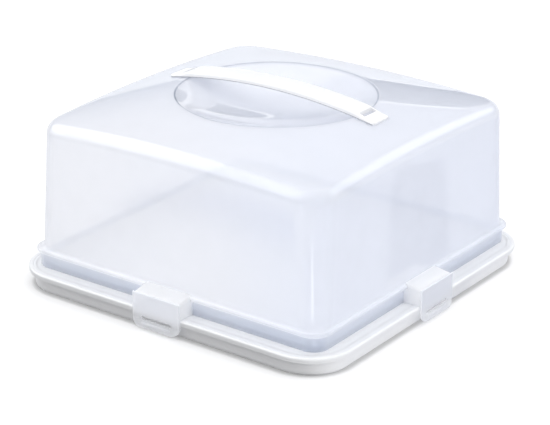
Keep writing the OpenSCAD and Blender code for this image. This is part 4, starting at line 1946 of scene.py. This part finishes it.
@dataclass
class Viewpoint:
    """The camera at the photograph's viewing angle, given as a turn, a tilt and a distance."""

    turn: float = 37.07
    tilt: float = 21.99
    distance: float = 1.81481
    middle_z: float = 0.09
    aim_right: float = -0.04362
    aim_up: float = -0.02584
    lens: float = 128.65
    sensor: float = 36.0
    shift_x: float = 0.0849
    shift_y: float = -0.0089

    def build(self) -> bpy.types.Object:
        """Creates the camera and makes it the scene's own."""
        a, e = math.radians(self.turn), math.radians(self.tilt)
        back = Vector((math.sin(a) * math.cos(e), -math.cos(a) * math.cos(e), math.sin(e)))
        right = Vector((math.cos(a), math.sin(a), 0.0))
        up = back.cross(right)
        target = Vector((0.0, 0.0, self.middle_z)) + right * self.aim_right + up * self.aim_up
        data = bpy.data.cameras.new("camera")
        data.lens = self.lens
        data.sensor_width = self.sensor
        data.shift_x = self.shift_x
        data.shift_y = self.shift_y
        data.clip_end = 50.0
        camera = bpy.data.objects.new("camera", data)
        bpy.context.scene.collection.objects.link(camera)
        turn = Matrix((right, up, back)).transposed().to_4x4()
        camera.matrix_world = Matrix.Translation(target + back * self.distance) @ turn
        bpy.context.scene.camera = camera
        return camera


def main() -> None:
    """Builds the carrier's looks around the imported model, piece by piece."""
    logging.basicConfig(level=logging.INFO, format="%(name)s: %(message)s")
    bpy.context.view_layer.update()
    effects = Effects()
    white = WhitePlastic("white tray plastic").material(effects)
    bridge = Handle()
    # The handle's finish paints a shade line along the lower edges of its sides.
    grip = WhitePlastic(
        "white handle plastic",
        colour=(0.95, 0.95, 0.955),
        shade=(0.925, 0.925, 0.935),
        shade_line_radius=bridge.radius,
        shade_line_top=bridge.top - bridge.thick,
    ).material(effects)
    milky = MilkyPlastic(
        "milky lid plastic",
        # Painted shade band on the skirt.
        skirt_shade_low=19.5,
        skirt_shade_high=30.0,
        skirt_shade_tint=(0.69, 0.73, 0.80),
        # Painted dark reflection round the dish.
        dark_reflection_r=92.4,
        # Painted lighter patch low on the front wall.
        lit_patch_reach=210.0,
    ).material(effects)
    # The shoulders get a whiter, denser copy of the lid's plastic, painted lighter because they face up into the light.
    lit_shoulder_milk = MilkyPlastic(
        "milky shoulder plastic", haze=0.85, haze_colour=(0.98, 0.98, 0.982), glow_colour=(0.98, 0.98, 0.982)
    ).material(effects)
    clip_milk = MilkyPlastic(
        "milky clip plastic", haze=0.52, haze_colour=(0.975, 0.978, 0.99), glow_colour=(0.975, 0.978, 0.99)
    ).material(effects)
    pieces = [*Tray().build(white), Lid().build(milky), Lid().hoods(lit_shoulder_milk), bridge.build(grip)]
    pieces += [Clip(side).build(clip_milk) for side in Side]
    for piece in pieces:
        log.info("%s: %d faces", piece.name, len(piece.data.polygons))
    Studio().build()
    Viewpoint().build()


if __name__ == "__main__":
    main()
